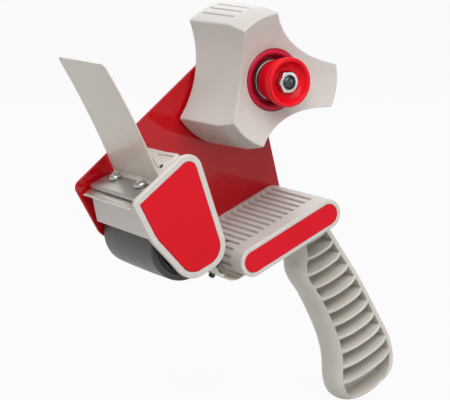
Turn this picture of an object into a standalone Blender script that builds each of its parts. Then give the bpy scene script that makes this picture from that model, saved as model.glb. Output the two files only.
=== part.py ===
"""Hand-held packing tape dispenser for 50 mm tape on a 76 mm core.

All pieces are modelled in the dispenser's own side view and hang on one empty, hold_frame, which stands
them up as the tool is held: x runs rearward along the tape guide, y up, and z out towards the open side
where the roll is loaded. The tape hub's axis is x = y = 0, and the middle of the tape is z = 0.
"""
import math

import bmesh
import bpy
from mathutils import Vector

MM = 0.001

# Driving sizes
TAPE_WIDTH = 50 * MM
CORE_BORE = 76 * MM
HOLD_TILT = math.radians(23)
SEAT_GAP = 0.3 * MM
OVERRUN = 3 * MM
FINE_STEPS = 32
PLAIN_STEPS = 16
SMOOTH_ANGLE = math.radians(35)
ARC_STEP = math.radians(15)
MERGE_DISTANCE = 0.01 * MM
WELD_DISTANCE = 0.001 * MM

# Side plate: sheet steel, its top rounded about the hub
SIDE_PLAY = 1.0 * MM
PLATE_THICKNESS = 1.5 * MM
PLATE_IN = -TAPE_WIDTH / 2 - SIDE_PLAY
PLATE_OUT = PLATE_IN - PLATE_THICKNESS
PLATE_TOP_RADIUS = 16 * MM
PLATE_NOSE_LEAD = 2.5 * MM
PLATE_NOSE_RADIUS = 4 * MM
PLATE_CORNER_RADIUS = 8 * MM
PLATE_FOOT_RISE = 2.6 * MM

# Roller: rubber tyre on a plastic core, below and ahead of the hub
ROLLER_AHEAD = 83 * MM
ROLLER_DROP = 47.5 * MM
ROLLER_RADIUS = 18 * MM
TYRE_THICKNESS = 3.5 * MM
TYRE_CROWN = 0.4 * MM
CORE_RIM = 2.2 * MM
CORE_WEB = 3 * MM
CORE_HUB_RADIUS = 7 * MM
AXLE_RADIUS = 4 * MM
AXLE_CHAMFER = 0.6 * MM
AXLE_NUT_FLATS = 13 * MM
AXLE_NUT_HEIGHT = 5 * MM
RUN_CLEARANCE = 0.3 * MM
ROLLER_X = -ROLLER_AHEAD
ROLLER_Y = -ROLLER_DROP

# Tape hub: three lobes with a dished outer face
HUB_FIT = 0.2 * MM
HUB_LENGTH = 48 * MM
HUB_TIP_RADIUS = CORE_BORE / 2 - HUB_FIT
HUB_VALLEY_RADIUS = 21.8 * MM
HUB_LOBE_WIDTH = 24 * MM
HUB_DRAFT = 1.0 * MM
LEAD_IN_LENGTH = 12 * MM
LEAD_IN_DEPTH = 2.8 * MM
HUB_WALL = 2.4 * MM
HUB_RIB = 2.0 * MM
HUB_BOSS_RADIUS = 9 * MM
DISH_DEPTH = 10 * MM
HUB_GROOVES = 3
HUB_GROOVE_PITCH = 5 * MM
HUB_GROOVE_WIDTH = 1.1 * MM
HUB_GROOVE_DEPTH = 0.8 * MM
HUB_GROOVE_MARGIN = 3 * MM
TIP_ARC_STEPS = 6
VALLEY_ARC_STEPS = 10
DISH_STEPS = 6

# Brake: bolt, friction washers, spring and knob, from the plate outwards
BOLT_RADIUS = 3 * MM
BOLT_HEAD_FLATS = 10 * MM
BOLT_HEAD_HEIGHT = 4 * MM
THREAD_CORE_RADIUS = 2.4 * MM
THREAD_LENGTH = 14 * MM
THREAD_SHOWING = 1 * MM
NUT_FLATS = 10 * MM
NUT_HEIGHT = 5 * MM
KNOB_NUT_BORE_RADIUS = 3.2 * MM
WASHER_THICKNESS = 1 * MM
FRICTION_WASHER_RADIUS = 8.5 * MM
CUP_RADIUS = 15.4 * MM
CUP_LIP = 2.4 * MM
CUP_FLOOR_OUT = 8 * MM
CUP_FLOOR = 1.5 * MM
CUP_PROUD = 0.6 * MM
CUP_WASHER_RADIUS = 9.7 * MM
SPRING_RADIUS = 6 * MM
SPRING_WIRE = 0.6 * MM
SPRING_TURNS = 4
SPRING_POINTS_PER_TURN = 10
KNOB_RADIUS = 12.6 * MM
KNOB_NECK_RADIUS = 11.2 * MM
KNOB_NECK_LENGTH = 2.2 * MM
KNOB_BASE_OUT = 17.5 * MM
KNOB_HOLLOW_RADIUS = 9.3 * MM
KNOB_HOLLOW_DEPTH = 4.2 * MM
KNOB_WEB = 3.0 * MM
KNOB_RIM_WIDTH = 2.2 * MM
KNOB_DISH_DEPTH = 3.6 * MM
KNOB_DISH_FLOOR_RADIUS = 7 * MM
KNOB_WASHER_RADIUS = 8.5 * MM
KNOB_BORE_RADIUS = 4.5 * MM
NUT_POCKET_DEPTH = 2.7 * MM
KNOB_RIM_OUT = KNOB_BASE_OUT + KNOB_HOLLOW_DEPTH + KNOB_WEB + NUT_POCKET_DEPTH + KNOB_DISH_DEPTH

# Tape guide: a hollow moulding with a stadium-shaped near end
GUIDE_REAR = 5.8 * MM
GUIDE_LENGTH = 64.8 * MM
GUIDE_DROP = 67.2 * MM
GUIDE_HEIGHT = 15.4 * MM
GUIDE_WALL = 2.4 * MM
GUIDE_NEAR_OUT = 26.5 * MM
GUIDE_FRONT_BLOCK = 11 * MM
GUIDE_GROOVES = 13
GUIDE_GROOVE_PITCH = 3.97 * MM
GUIDE_GROOVE_WIDTH = 1.9 * MM
GUIDE_GROOVE_DEPTH = 1.2 * MM
GUIDE_GROOVE_LENGTH = 38 * MM
GUIDE_GROOVE_NEAR_OUT = 16 * MM
GUIDE_REAR_GROOVE_INSET = 8.8 * MM
FRONT_GROOVE_ANGLES = (math.radians(118), math.radians(148), math.radians(178))
GUIDE_BOSS_RADIUS = 3.5 * MM
GUIDE_BOSS_LENGTH = 8 * MM
INSET_RIM = 2.2 * MM
INSET_THICKNESS = 1.2 * MM
INSET_PROUD = 0.2 * MM
GUIDE_FRONT = GUIDE_REAR - GUIDE_LENGTH
GUIDE_TOP = -GUIDE_DROP
GUIDE_BOTTOM = GUIDE_TOP - GUIDE_HEIGHT
GUIDE_END_RADIUS = GUIDE_HEIGHT / 2
GUIDE_MID = GUIDE_TOP - GUIDE_END_RADIUS

# Nose housing: hood over the roller with a near cheek
NOSE_LENGTH = 42 * MM
NOSE_HEIGHT = 61.2 * MM
NOSE_LEAD = 0.5 * MM
CHEEK_PLAY = 1.5 * MM
CHEEK_THICKNESS = 2.6 * MM
NOSE_RIM = 3.2 * MM
NOSE_WALL = 2.4 * MM
LAND_DROP = 18 * MM
LAND_LENGTH = 17 * MM
DECK_RISE = 4.8 * MM
HOOD_REAR_LENGTH = 17 * MM
HOOD_APRON_LENGTH = 16 * MM
HOOD_REAR_INSET = 1.6 * MM
HOOD_FRONT_INSET = 2 * MM
NOSE_FLANGE_LENGTH = 11 * MM
NOSE_BOSS_RADIUS = 3.2 * MM
NOSE_BOSS_LENGTH = 9 * MM
AXLE_BOSS_RADIUS = 7 * MM
AXLE_BOSS_HEIGHT = 1.2 * MM
AXLE_SEAT_DEPTH = 0.8 * MM
DECK_HOLE_RADIUS = 1.2 * MM
DECK_HOLE_BACK = 11 * MM
DECK_HOLE_OUT = 10.3 * MM
# Cheek corners from the front bottom: x share of NOSE_LENGTH, y and radius shares of NOSE_HEIGHT
CHEEK_SHARES = (
    (0.00, 0.838, 0.065),
    (0.045, 0.47, 0.40),
    (0.285, 0.00, 0.19),
    (0.905, 0.00, 0.20),
    (1.00, 1.00, 0.13),
)
CHEEK_IN = TAPE_WIDTH / 2 + CHEEK_PLAY
CHEEK_OUT = CHEEK_IN + CHEEK_THICKNESS
NOSE_FRONT = ROLLER_X - ROLLER_RADIUS - NOSE_LEAD
NOSE_REAR = NOSE_FRONT + NOSE_LENGTH
NOSE_BOTTOM_RISE = 0.7 * MM
NOSE_BOTTOM = ROLLER_Y - ROLLER_RADIUS + NOSE_BOTTOM_RISE
LAND_Y = -LAND_DROP
LAND_FRONT = NOSE_FRONT + HOOD_FRONT_INSET
LAND_REAR = LAND_FRONT + LAND_LENGTH
HOOD_REAR = NOSE_REAR + HOOD_REAR_INSET

# Cutter: serrated blade under a folded clamp plate
BLADE_THICKNESS = 0.8 * MM
BLADE_WIDTH = 48 * MM
BLADE_REACH = 2.8 * MM
BLADE_LENGTH = 18 * MM
TEETH = 30
TOOTH_DEPTH = 1.5 * MM
CLAMP_THICKNESS = 1.2 * MM
CLAMP_WIDTH = 46 * MM
CLAMP_SETBACK = 2.4 * MM
CLAMP_FOLD_DROP = 1.2 * MM
CLAMP_SCREW_BACK = 12.5 * MM
CLAMP_SCREW_SPAN = 26 * MM

# Wiper: a bent plastic film held under the clamp
FILM_THICKNESS = 0.8 * MM
WIPER_BEND_RADIUS = 3 * MM
WIPER_HEIGHT = 64 * MM
WIPER_WIDTH = 48 * MM
WIPER_LEAN = 5 * MM
WIPER_CORNER = 2.5 * MM
WIPER_STEPS = 10
BEND_STEPS = 5

# Screws
SCREW_RADIUS = 1.7 * MM
SCREW_HEAD_RADIUS = 3.3 * MM
SCREW_HEAD_HEIGHT = 2.2 * MM
SCREW_LENGTH = 7 * MM

# Handle: oval hollow grip with ribs on a central web
GRIP_LENGTH = 105 * MM
GRIP_BREADTH = 40 * MM
GRIP_DEPTH = 27 * MM
GRIP_FRONT_WALL = 4.0 * MM
GRIP_BACK_WALL = 2.8 * MM
GRIP_TOP_WALL = 2.4 * MM
GRIP_BOTTOM_WALL = 2.4 * MM
GRIP_RIM_ROUND = 0.9 * MM
GRIP_WEB = 2.5 * MM
GRIP_RIBS = 11
GRIP_FIRST_RIB = 5.8 * MM
GRIP_LAST_RIB_RISE = 14 * MM
GRIP_RIB_THICKNESS = 1.9 * MM
GRIP_OVAL_POWER = 2.6
GRIP_SIDE_POINTS = 10
GRIP_SECTIONS = 18
TANG_DEPTH = 18 * MM
TANG_THICKNESS = 3 * MM
TANG_RISE = 2 * MM
TANG_FRONT = 37 * MM
TANG_REAR = 1 * MM
TANG_NECK = 14 * MM
GRIP_SCREW_BACKS = (31 * MM, 20 * MM)
# Edges of the grip seen from the side: share of GRIP_LENGTH down, share of GRIP_BREADTH behind the hub axis
GRIP_FRONT_SHARES = (
    (0.00, -0.39), (0.12, -0.41), (0.20, -0.50), (0.26, -0.51), (0.36, -0.45), (0.50, -0.41),
    (0.64, -0.40), (0.75, -0.44), (0.86, -0.54), (0.93, -0.56), (0.98, -0.51), (1.00, -0.43),
)
GRIP_BACK_SHARES = (
    (0.00, 0.08), (0.14, 0.18), (0.40, 0.33), (0.66, 0.43), (0.80, 0.48), (0.90, 0.45), (0.96, 0.36),
    (1.00, 0.18),
)
# How the grip's depth tapers: share of GRIP_LENGTH down, share of GRIP_DEPTH
GRIP_DEPTH_SHARES = ((0.00, 0.94), (0.25, 1.0), (0.90, 1.0), (0.97, 0.9), (1.0, 0.7))
GRIP_TOP = GUIDE_BOTTOM - SEAT_GAP
GRIP_RIB_PITCH = (GRIP_LENGTH - GRIP_FIRST_RIB - GRIP_LAST_RIB_RISE) / (GRIP_RIBS - 1)

# Tape retainer: a wire finger in a slot of the guide's front, and a film tongue under it
FINGER_OUT = 4 * MM
FINGER_WIRE = 0.9 * MM
FINGER_BEAD_SHARE = 1.9
FINGER_SHOULDER_SHARE = 1.7
FINGER_PIVOT_BACK = 6 * MM
FINGER_PIVOT_DROP = 3.8 * MM
FINGER_LEG = 7.5 * MM
FINGER_REACH = 12 * MM
FINGER_FALL = 8.5 * MM
FINGER_BEND = 1.6 * MM
SLOT_WIDTH = 4.4 * MM
SLOT_DEPTH = 8.5 * MM
TONGUE_THICKNESS = 0.5 * MM
TONGUE_WIDTH = 34 * MM
TONGUE_FOOT_LENGTH = 7.5 * MM
TONGUE_REACH = 10.5 * MM
TONGUE_RISE = 13 * MM
TONGUE_ROOT_BACK = 2.2 * MM
TONGUE_SLIT = 5 * MM
TONGUE_STEPS = 8
RIVET_RADIUS = 1.0 * MM
RIVET_HEAD_RADIUS = 2.0 * MM
RIVET_HEAD_HEIGHT = 0.8 * MM
RIVET_LENGTH = 4 * MM
RIVET_SPAN = 24 * MM


def clear_scene():
    """Remove every object, so the script can be run again in an open file."""
    for obj in list(bpy.data.objects):
        bpy.data.objects.remove(obj, do_unlink=True)


def make_collection(name):
    group = bpy.data.collections.new(name)
    bpy.context.scene.collection.children.link(group)
    return group


def make_material(name, colour, roughness, metallic=0.0, alpha=1.0):
    """A Principled BSDF of one linear colour."""
    mat = bpy.data.materials.new(name)
    mat.use_nodes = True
    shader = mat.node_tree.nodes["Principled BSDF"]
    shader.inputs["Base Color"].default_value = (*colour, 1.0)
    shader.inputs["Roughness"].default_value = roughness
    shader.inputs["Metallic"].default_value = metallic
    shader.inputs["Alpha"].default_value = alpha
    return mat


clear_scene()
PART = make_collection("packing_tape_dispenser")
CUTTERS = make_collection("cutters")

HOLD_FRAME = bpy.data.objects.new("hold_frame", None)
HOLD_FRAME.rotation_euler = (math.radians(90), -HOLD_TILT, 0)
PART.objects.link(HOLD_FRAME)

GREY = make_material("grey_moulding", (0.56, 0.52, 0.48), 0.45)
RED_PAINT = make_material("red_paint", (0.42, 0.01, 0.02), 0.18)
RED_INSET = make_material("red_inset", (0.66, 0.01, 0.03), 0.4)
RED_KNOB = make_material("red_knob", (0.75, 0.004, 0.02), 0.3)
STEEL = make_material("bright_steel", (0.55, 0.54, 0.52), 0.3, 1.0)
SATIN = make_material("satin_steel", (0.4, 0.39, 0.37), 0.4, 1.0)
RUBBER = make_material("black_rubber", (0.02, 0.018, 0.015), 0.6)
BLACK = make_material("black_plastic", (0.015, 0.015, 0.015), 0.5)
FILM = make_material("clear_film", (0.6, 0.57, 0.52), 0.35, 0.0, 0.75)
FIBRE = make_material("fibre_washer", (0.25, 0.08, 0.04), 0.8)


def add_object(name, mesh, material=None, location=(0, 0, 0), rotation=(0, 0, 0)):
    """Put a mesh into the part, in the side view's frame."""
    obj = bpy.data.objects.new(name, mesh)
    obj.location = location
    obj.rotation_euler = rotation
    obj.parent = HOLD_FRAME
    PART.objects.link(obj)
    if material is not None:
        mesh.materials.append(material)
    return obj


def shade(obj):
    """Smooth shading with sharp edges kept."""
    obj.data.shade_smooth()
    obj.data.set_sharp_from_angle(angle=SMOOTH_ANGLE)


def as_cutter(obj):
    """Move an object out of the part, to serve a Boolean."""
    PART.objects.unlink(obj)
    CUTTERS.objects.link(obj)
    obj.hide_render = True
    obj.display_type = "WIRE"
    return obj


def boolean(obj, tool, operation="DIFFERENCE"):
    """Cut an object by a tool, or join the tool to it."""
    step = obj.modifiers.new(tool.name, "BOOLEAN")
    step.operation = operation
    step.solver = "EXACT"
    step.object = as_cutter(tool)


def mesh_from(name, build):
    """A mesh filled by a function that is given an empty bmesh."""
    bm = bmesh.new()
    build(bm)
    mesh = bpy.data.meshes.new(name)
    bm.to_mesh(mesh)
    bm.free()
    return mesh


def box(name, low, high, material=None):
    """A box between two corners."""
    size = [b - a for a, b in zip(low, high)]
    centre = [(a + b) / 2 for a, b in zip(low, high)]

    def build(bm):
        bmesh.ops.create_cube(bm, size=1)
        bmesh.ops.scale(bm, vec=size, verts=bm.verts)

    return add_object(name, mesh_from(name, build), material, centre)


def rod(name, radius, low, high, centre, axis="Z", steps=PLAIN_STEPS, material=None):
    """A plain cylinder from low to high along one axis, its other two coordinates from centre."""
    turn = {"X": (0, math.pi / 2, 0), "Y": (-math.pi / 2, 0, 0), "Z": (0, 0, 0)}[axis]
    place = list(centre)
    place["XYZ".index(axis)] = (low + high) / 2

    def build(bm):
        bmesh.ops.create_cone(
            bm, cap_ends=True, segments=steps, radius1=radius, radius2=radius, depth=high - low)

    return add_object(name, mesh_from(name, build), material, place, turn)


def turned(name, profile, material=None, location=(0, 0, 0), rotation=(0, 0, 0), steps=FINE_STEPS):
    """A shape turned about z: (radius, height) points down its outer side, closed if they end off the axis."""
    open_ends = profile[0][0] == 0 and profile[-1][0] == 0

    def build(bm):
        verts = [bm.verts.new((radius, 0, height)) for radius, height in profile]
        for a, b in zip(verts, verts[1:]):
            bm.edges.new((a, b))
        if not open_ends:
            bm.edges.new((verts[-1], verts[0]))

    obj = add_object(name, mesh_from(name, build), material, location, rotation)
    screw = obj.modifiers.new("turn", "SCREW")
    screw.axis = "Z"
    screw.steps = steps
    screw.render_steps = steps
    screw.use_merge_vertices = True
    screw.merge_threshold = MERGE_DISTANCE
    screw.use_smooth_shade = True
    return obj


def ring(inner, outer, low, high):
    """The profile of a washer or a sleeve."""
    return [(inner, high), (outer, high), (outer, low), (inner, low)]


def circle(radius, centre=(0, 0), steps=PLAIN_STEPS):
    return [
        (centre[0] + radius * math.cos(math.tau * i / steps), centre[1] + radius * math.sin(math.tau * i / steps))
        for i in range(steps)
    ]


def hexagon(flats, centre=(0, 0)):
    return circle(flats / math.sqrt(3), centre, 6)


def rounded(corners):
    """An outline through (x, y, radius) corners, each rounded by a tangent arc."""
    points = []
    count = len(corners)
    for i, (x, y, radius) in enumerate(corners):
        corner = Vector((x, y))
        before = (Vector(corners[i - 1][:2]) - corner).normalized()
        after = (Vector(corners[(i + 1) % count][:2]) - corner).normalized()
        if radius == 0:
            points.append((x, y))
            continue
        half = before.angle(after) / 2
        centre = corner + (before + after).normalized() * radius / math.sin(half)
        start = corner + before * radius / math.tan(half) - centre
        turn = start.angle_signed(corner + after * radius / math.tan(half) - centre)
        steps = max(2, math.ceil(abs(turn) / ARC_STEP))
        first = math.atan2(start.y, start.x)
        for k in range(steps + 1):
            angle = first - turn * k / steps
            points.append((centre.x + radius * math.cos(angle), centre.y + radius * math.sin(angle)))
    return points


def shrunk(corners, distance):
    """The corners of an outline drawn in by a distance, their radii reduced alike."""
    count = len(corners)
    area = sum(corners[i - 1][0] * corners[i][1] - corners[i][0] * corners[i - 1][1] for i in range(count))
    side = math.copysign(1, area)
    result = []
    for i, (x, y, radius) in enumerate(corners):
        corner = Vector((x, y))
        before = (corner - Vector(corners[i - 1][:2])).normalized()
        after = (Vector(corners[(i + 1) % count][:2]) - corner).normalized()
        normal_a = Vector((-before.y, before.x)) * side
        normal_b = Vector((-after.y, after.x)) * side
        shift = (normal_a + normal_b) * distance / (1 + normal_a.dot(normal_b))
        result.append((x + shift.x, y + shift.y, max(radius - distance, 0)))
    return result


def flat(name, outlines, low, high, material=None, rotation=(0, 0, 0), location=(0, 0, 0)):
    """A flat piece: a filled outline with any holes, extruded from low to high along its own z."""
    curve = bpy.data.curves.new(name, "CURVE")
    curve.dimensions = "2D"
    curve.fill_mode = "BOTH"
    curve.extrude = (high - low) / 2
    for outline in outlines:
        spline = curve.splines.new("POLY")
        spline.points.add(len(outline) - 1)
        for point, (x, y) in zip(spline.points, outline):
            point.co = (x, y, 0, 1)
        spline.use_cyclic_u = True
    return mesh_of_curve(name, curve, material, location, rotation, (low + high) / 2)


def tube(name, points, radius, material=None, shares=None, sides=2, location=(0, 0, 0)):
    """A wire along points, with filled ends; shares swell it locally."""
    curve = bpy.data.curves.new(name, "CURVE")
    curve.dimensions = "3D"
    curve.bevel_depth = radius
    curve.bevel_resolution = sides
    curve.use_fill_caps = True
    spline = curve.splines.new("POLY")
    spline.points.add(len(points) - 1)
    for i, (point, place) in enumerate(zip(spline.points, points)):
        point.co = (*place, 1)
        point.radius = 1 if shares is None else shares[i]
    return mesh_of_curve(name, curve, material, location, (0, 0, 0), 0)


def mesh_of_curve(name, curve, material, location, rotation, lift):
    """Turn a curve into a welded mesh object; lift moves its mesh along its own z."""
    guide = bpy.data.objects.new(name + "_curve", curve)
    PART.objects.link(guide)
    bpy.context.view_layer.update()
    evaluated = guide.evaluated_get(bpy.context.evaluated_depsgraph_get())
    mesh = bpy.data.meshes.new_from_object(evaluated)
    bpy.data.objects.remove(guide, do_unlink=True)
    bm = bmesh.new()
    bm.from_mesh(mesh)
    bmesh.ops.remove_doubles(bm, verts=bm.verts, dist=WELD_DISTANCE)
    bmesh.ops.translate(bm, verts=bm.verts, vec=(0, 0, lift))
    bmesh.ops.recalc_face_normals(bm, faces=bm.faces)
    bm.to_mesh(mesh)
    bm.free()
    mesh.name = name
    return add_object(name, mesh, material, location, rotation)


def loft(name, sections, material=None, location=(0, 0, 0)):
    """A closed skin over sections of equal point counts."""

    def build(bm):
        rings = [[bm.verts.new(point) for point in section] for section in sections]
        for lower, upper in zip(rings, rings[1:]):
            for i in range(len(lower)):
                bm.faces.new((lower[i - 1], lower[i], upper[i], upper[i - 1]))
        bm.faces.new(rings[0])
        bm.faces.new(rings[-1])
        bmesh.ops.recalc_face_normals(bm, faces=bm.faces)

    return add_object(name, mesh_from(name, build), material, location)


def along(table, share):
    """Read a table of (share, value) pairs along a smooth curve through them."""
    for i in range(len(table) - 1):
        if share <= table[i + 1][0] or i == len(table) - 2:
            break
    (x0, y0), (x1, y1) = table[i], table[i + 1]
    span = x1 - x0
    before = table[i - 1] if i > 0 else table[i]
    after = table[i + 2] if i + 2 < len(table) else table[i + 1]
    slope0 = (y1 - before[1]) / (x1 - before[0])
    slope1 = (after[1] - y0) / (after[0] - x0)
    t = (share - x0) / span
    h = 1 - t
    return h * h * (1 + 2 * t) * y0 + t * t * (3 - 2 * t) * y1 + span * t * h * (h * slope0 - t * slope1)


def arc_through(start, middle, end, steps):
    """Points of the circular arc from start to end by way of middle, without its two ends."""
    a, b, c = Vector(start), Vector(middle), Vector(end)
    chord = c - a
    foot = (a + c) / 2
    rise = (b - foot).length
    radius = (chord.length_squared / 4 + rise * rise) / (2 * rise)
    centre = b + (foot - b).normalized() * radius
    first = a - centre
    sweep = first.angle_signed(c - centre)
    base = math.atan2(first.y, first.x)
    turns = [base - sweep * k / steps for k in range(1, steps)]
    return [(centre.x + radius * math.cos(turn), centre.y + radius * math.sin(turn)) for turn in turns]


def polar(radius, angle):
    return (radius * math.cos(angle), radius * math.sin(angle))


def cheek_corners():
    """The near cheek's corners, from its shares."""
    return [
        (NOSE_FRONT + x * NOSE_LENGTH, NOSE_BOTTOM + y * NOSE_HEIGHT, radius * NOSE_HEIGHT)
        for x, y, radius in CHEEK_SHARES
    ]


def guide_corners():
    """The guide's stadium end."""
    r = GUIDE_END_RADIUS
    return [
        (GUIDE_FRONT, GUIDE_BOTTOM, r), (GUIDE_REAR, GUIDE_BOTTOM, r),
        (GUIDE_REAR, GUIDE_TOP, r), (GUIDE_FRONT, GUIDE_TOP, r),
    ]


def tangent_from(point, radius, side):
    """Direction of the line from a point that touches a circle about the hub axis."""
    away = Vector((-point[0], -point[1]))
    angle = math.atan2(away.y, away.x) + side * math.asin(radius / away.length)
    return Vector((math.cos(angle), math.sin(angle)))


def plate_corners():
    """The side plate: its two long edges touch one circle about the hub, which rounds its top."""
    nose_y = NOSE_BOTTOM + CHEEK_SHARES[0][1] * NOSE_HEIGHT + PLATE_THICKNESS
    nose = Vector((NOSE_FRONT - PLATE_NOSE_LEAD, nose_y))
    foot = Vector((GUIDE_REAR - PLATE_THICKNESS, GUIDE_BOTTOM + PLATE_FOOT_RISE))
    up_front = tangent_from(nose, PLATE_TOP_RADIUS, 1)
    up_rear = tangent_from(foot, PLATE_TOP_RADIUS, -1)
    gap = foot - nose
    reach = (gap.x * up_rear.y - gap.y * up_rear.x) / (up_front.x * up_rear.y - up_front.y * up_rear.x)
    apex = nose + up_front * reach
    chin_y = NOSE_BOTTOM + PLATE_NOSE_RADIUS
    return [
        (nose.x, nose.y, PLATE_NOSE_RADIUS),
        (apex.x, apex.y, PLATE_TOP_RADIUS),
        (foot.x, foot.y, PLATE_NOSE_RADIUS),
        (GUIDE_FRONT + PLATE_NOSE_RADIUS, foot.y, PLATE_NOSE_RADIUS),
        (ROLLER_X + ROLLER_RADIUS - PLATE_NOSE_RADIUS, chin_y, PLATE_CORNER_RADIUS),
        (ROLLER_X - CORE_HUB_RADIUS, chin_y, PLATE_CORNER_RADIUS),
        (ROLLER_X - ROLLER_RADIUS, ROLLER_Y + CORE_HUB_RADIUS, PLATE_CORNER_RADIUS),
    ]


def frame_screw_places():
    """Where the plate is screwed to the guide and to the nose housing."""
    inset = NOSE_BOSS_RADIUS + NOSE_WALL * 2 / 3
    return [
        (GUIDE_REAR - GUIDE_HEIGHT, GUIDE_MID),
        (GUIDE_FRONT + GUIDE_FRONT_BLOCK + GUIDE_BOSS_RADIUS + GUIDE_WALL, GUIDE_MID),
        (LAND_FRONT + inset, LAND_Y - inset),
        (HOOD_REAR - NOSE_WALL - inset, LAND_Y - inset),
    ]


def side_frame():
    """The red side plate, with holes for the hub bolt, the roller's axle and four screws."""
    holes = [circle(BOLT_RADIUS + SEAT_GAP), circle(AXLE_RADIUS + SEAT_GAP, (ROLLER_X, ROLLER_Y))]
    holes += [circle(SCREW_RADIUS + SEAT_GAP, place) for place in frame_screw_places()]
    flat("side_frame", [rounded(plate_corners())] + holes, PLATE_OUT, PLATE_IN, RED_PAINT)


def screw(name, location, rotation, material):
    """A pan-head screw, its head up along its own z and its seat at z = 0."""
    crown = SCREW_HEAD_RADIUS - SCREW_HEAD_HEIGHT / 2
    profile = [
        (0, SCREW_HEAD_HEIGHT), (crown, SCREW_HEAD_HEIGHT), (SCREW_HEAD_RADIUS, SCREW_HEAD_HEIGHT / 2),
        (SCREW_HEAD_RADIUS, 0), (SCREW_RADIUS, 0), (SCREW_RADIUS, SCREW_RADIUS - SCREW_LENGTH),
        (0, -SCREW_LENGTH),
    ]
    shade(turned(name, profile, material, location, rotation, PLAIN_STEPS))


def frame_screws():
    for i, (x, y) in enumerate(frame_screw_places()):
        screw(f"frame_screw_{i + 1}", (x, y, PLATE_OUT - SEAT_GAP), (math.pi, 0, 0), STEEL)


def screw_hole(name, place, low, high, axis="Z"):
    return rod(name, SCREW_RADIUS + SEAT_GAP, low, high, place, axis)


def guide_cavity():
    """What is hollow under the guide: its inside less the bosses."""
    cavity = box(
        "guide_cavity",
        (GUIDE_FRONT + GUIDE_FRONT_BLOCK, GUIDE_BOTTOM - OVERRUN, PLATE_IN + SEAT_GAP + GUIDE_WALL),
        (GUIDE_REAR - GUIDE_WALL, GUIDE_TOP - GUIDE_WALL, GUIDE_NEAR_OUT - GUIDE_WALL - INSET_THICKNESS),
    )
    for i, (x, y) in enumerate(frame_screw_places()[:2]):
        boss = rod(f"guide_boss_{i}", GUIDE_BOSS_RADIUS, PLATE_IN, PLATE_IN + GUIDE_BOSS_LENGTH, (x, y, 0))
        boolean(cavity, boss)
    seat = GUIDE_BOTTOM + TANG_RISE + TANG_THICKNESS + SEAT_GAP
    for i, back in enumerate(GRIP_SCREW_BACKS):
        boolean(cavity, rod(f"grip_boss_{i}", GUIDE_BOSS_RADIUS, seat, GUIDE_TOP, (-back, 0, 0), "Y"))
    return cavity


def guide_body():
    """The grey tape guide: a hollow moulding with transverse grooves over its top and round its front."""
    guide = flat("guide_body", [rounded(guide_corners())], PLATE_IN + SEAT_GAP, GUIDE_NEAR_OUT, GREY)
    boolean(guide, guide_cavity())
    groove_low = GUIDE_GROOVE_NEAR_OUT - GUIDE_GROOVE_LENGTH
    for i in range(GUIDE_GROOVES):
        x = GUIDE_REAR - GUIDE_REAR_GROOVE_INSET - i * GUIDE_GROOVE_PITCH
        low = (x - GUIDE_GROOVE_WIDTH / 2, GUIDE_TOP - GUIDE_GROOVE_DEPTH, groove_low)
        high = (x + GUIDE_GROOVE_WIDTH / 2, GUIDE_TOP + OVERRUN, GUIDE_GROOVE_NEAR_OUT)
        boolean(guide, box(f"guide_groove_{i}", low, high))
    end = Vector((GUIDE_FRONT + GUIDE_END_RADIUS, GUIDE_MID, 0))
    for i, angle in enumerate(FRONT_GROOVE_ANGLES):
        groove = box(
            f"front_groove_{i}",
            (GUIDE_END_RADIUS - GUIDE_GROOVE_DEPTH, -GUIDE_GROOVE_WIDTH / 2, groove_low),
            (GUIDE_END_RADIUS + OVERRUN, GUIDE_GROOVE_WIDTH / 2, GUIDE_GROOVE_NEAR_OUT),
        )
        middle = Vector(groove.location)
        groove.rotation_euler = (0, 0, angle)
        groove.location = end + Vector((*polar(middle.x, angle), middle.z))
        boolean(guide, groove)
    inset = rounded(shrunk(guide_corners(), INSET_RIM))
    boolean(guide, flat("guide_recess", [inset], GUIDE_NEAR_OUT - INSET_THICKNESS, GUIDE_NEAR_OUT + OVERRUN))
    for i, (x, y) in enumerate(frame_screw_places()[:2]):
        boolean(guide, screw_hole(f"guide_pilot_{i}", (x, y, 0), PLATE_IN - OVERRUN, PLATE_IN + SCREW_LENGTH))
    seat = GUIDE_BOTTOM + TANG_RISE
    for i, back in enumerate(GRIP_SCREW_BACKS):
        boolean(guide, screw_hole(f"grip_pilot_{i}", (-back, 0, 0), seat, seat + SCREW_LENGTH + SEAT_GAP, "Y"))
    slot_low = (GUIDE_FRONT - OVERRUN, GUIDE_BOTTOM - OVERRUN, FINGER_OUT - SLOT_WIDTH / 2)
    slot_high = (GUIDE_FRONT + SLOT_DEPTH, GUIDE_TOP + OVERRUN, FINGER_OUT + SLOT_WIDTH / 2)
    boolean(guide, box("finger_slot", slot_low, slot_high))
    pivot = finger_pivot()
    hole = rod("finger_hole", FINGER_WIRE + SEAT_GAP, FINGER_OUT, FINGER_OUT + FINGER_LEG + SEAT_GAP, pivot)
    boolean(guide, hole)
    for i, z in enumerate((-RIVET_SPAN / 2, RIVET_SPAN / 2)):
        x = tongue_root().x + TONGUE_FOOT_LENGTH / 2
        low = GUIDE_BOTTOM - OVERRUN
        hole = rod(f"rivet_hole_{i}", RIVET_RADIUS + SEAT_GAP, low, GUIDE_BOTTOM + RIVET_LENGTH, (x, 0, z), "Y")
        boolean(guide, hole)
    shade(guide)


def guide_inset():
    """The red insert in the guide's near end."""
    outline = rounded(shrunk(guide_corners(), INSET_RIM + SEAT_GAP))
    floor = GUIDE_NEAR_OUT - INSET_THICKNESS + SEAT_GAP
    shade(flat("guide_inset", [outline], floor, GUIDE_NEAR_OUT + INSET_PROUD, RED_INSET))


def grip_edges(share):
    """The grip's front and back x at a share of its length."""
    return along(GRIP_FRONT_SHARES, share) * GRIP_BREADTH, along(GRIP_BACK_SHARES, share) * GRIP_BREADTH


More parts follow.
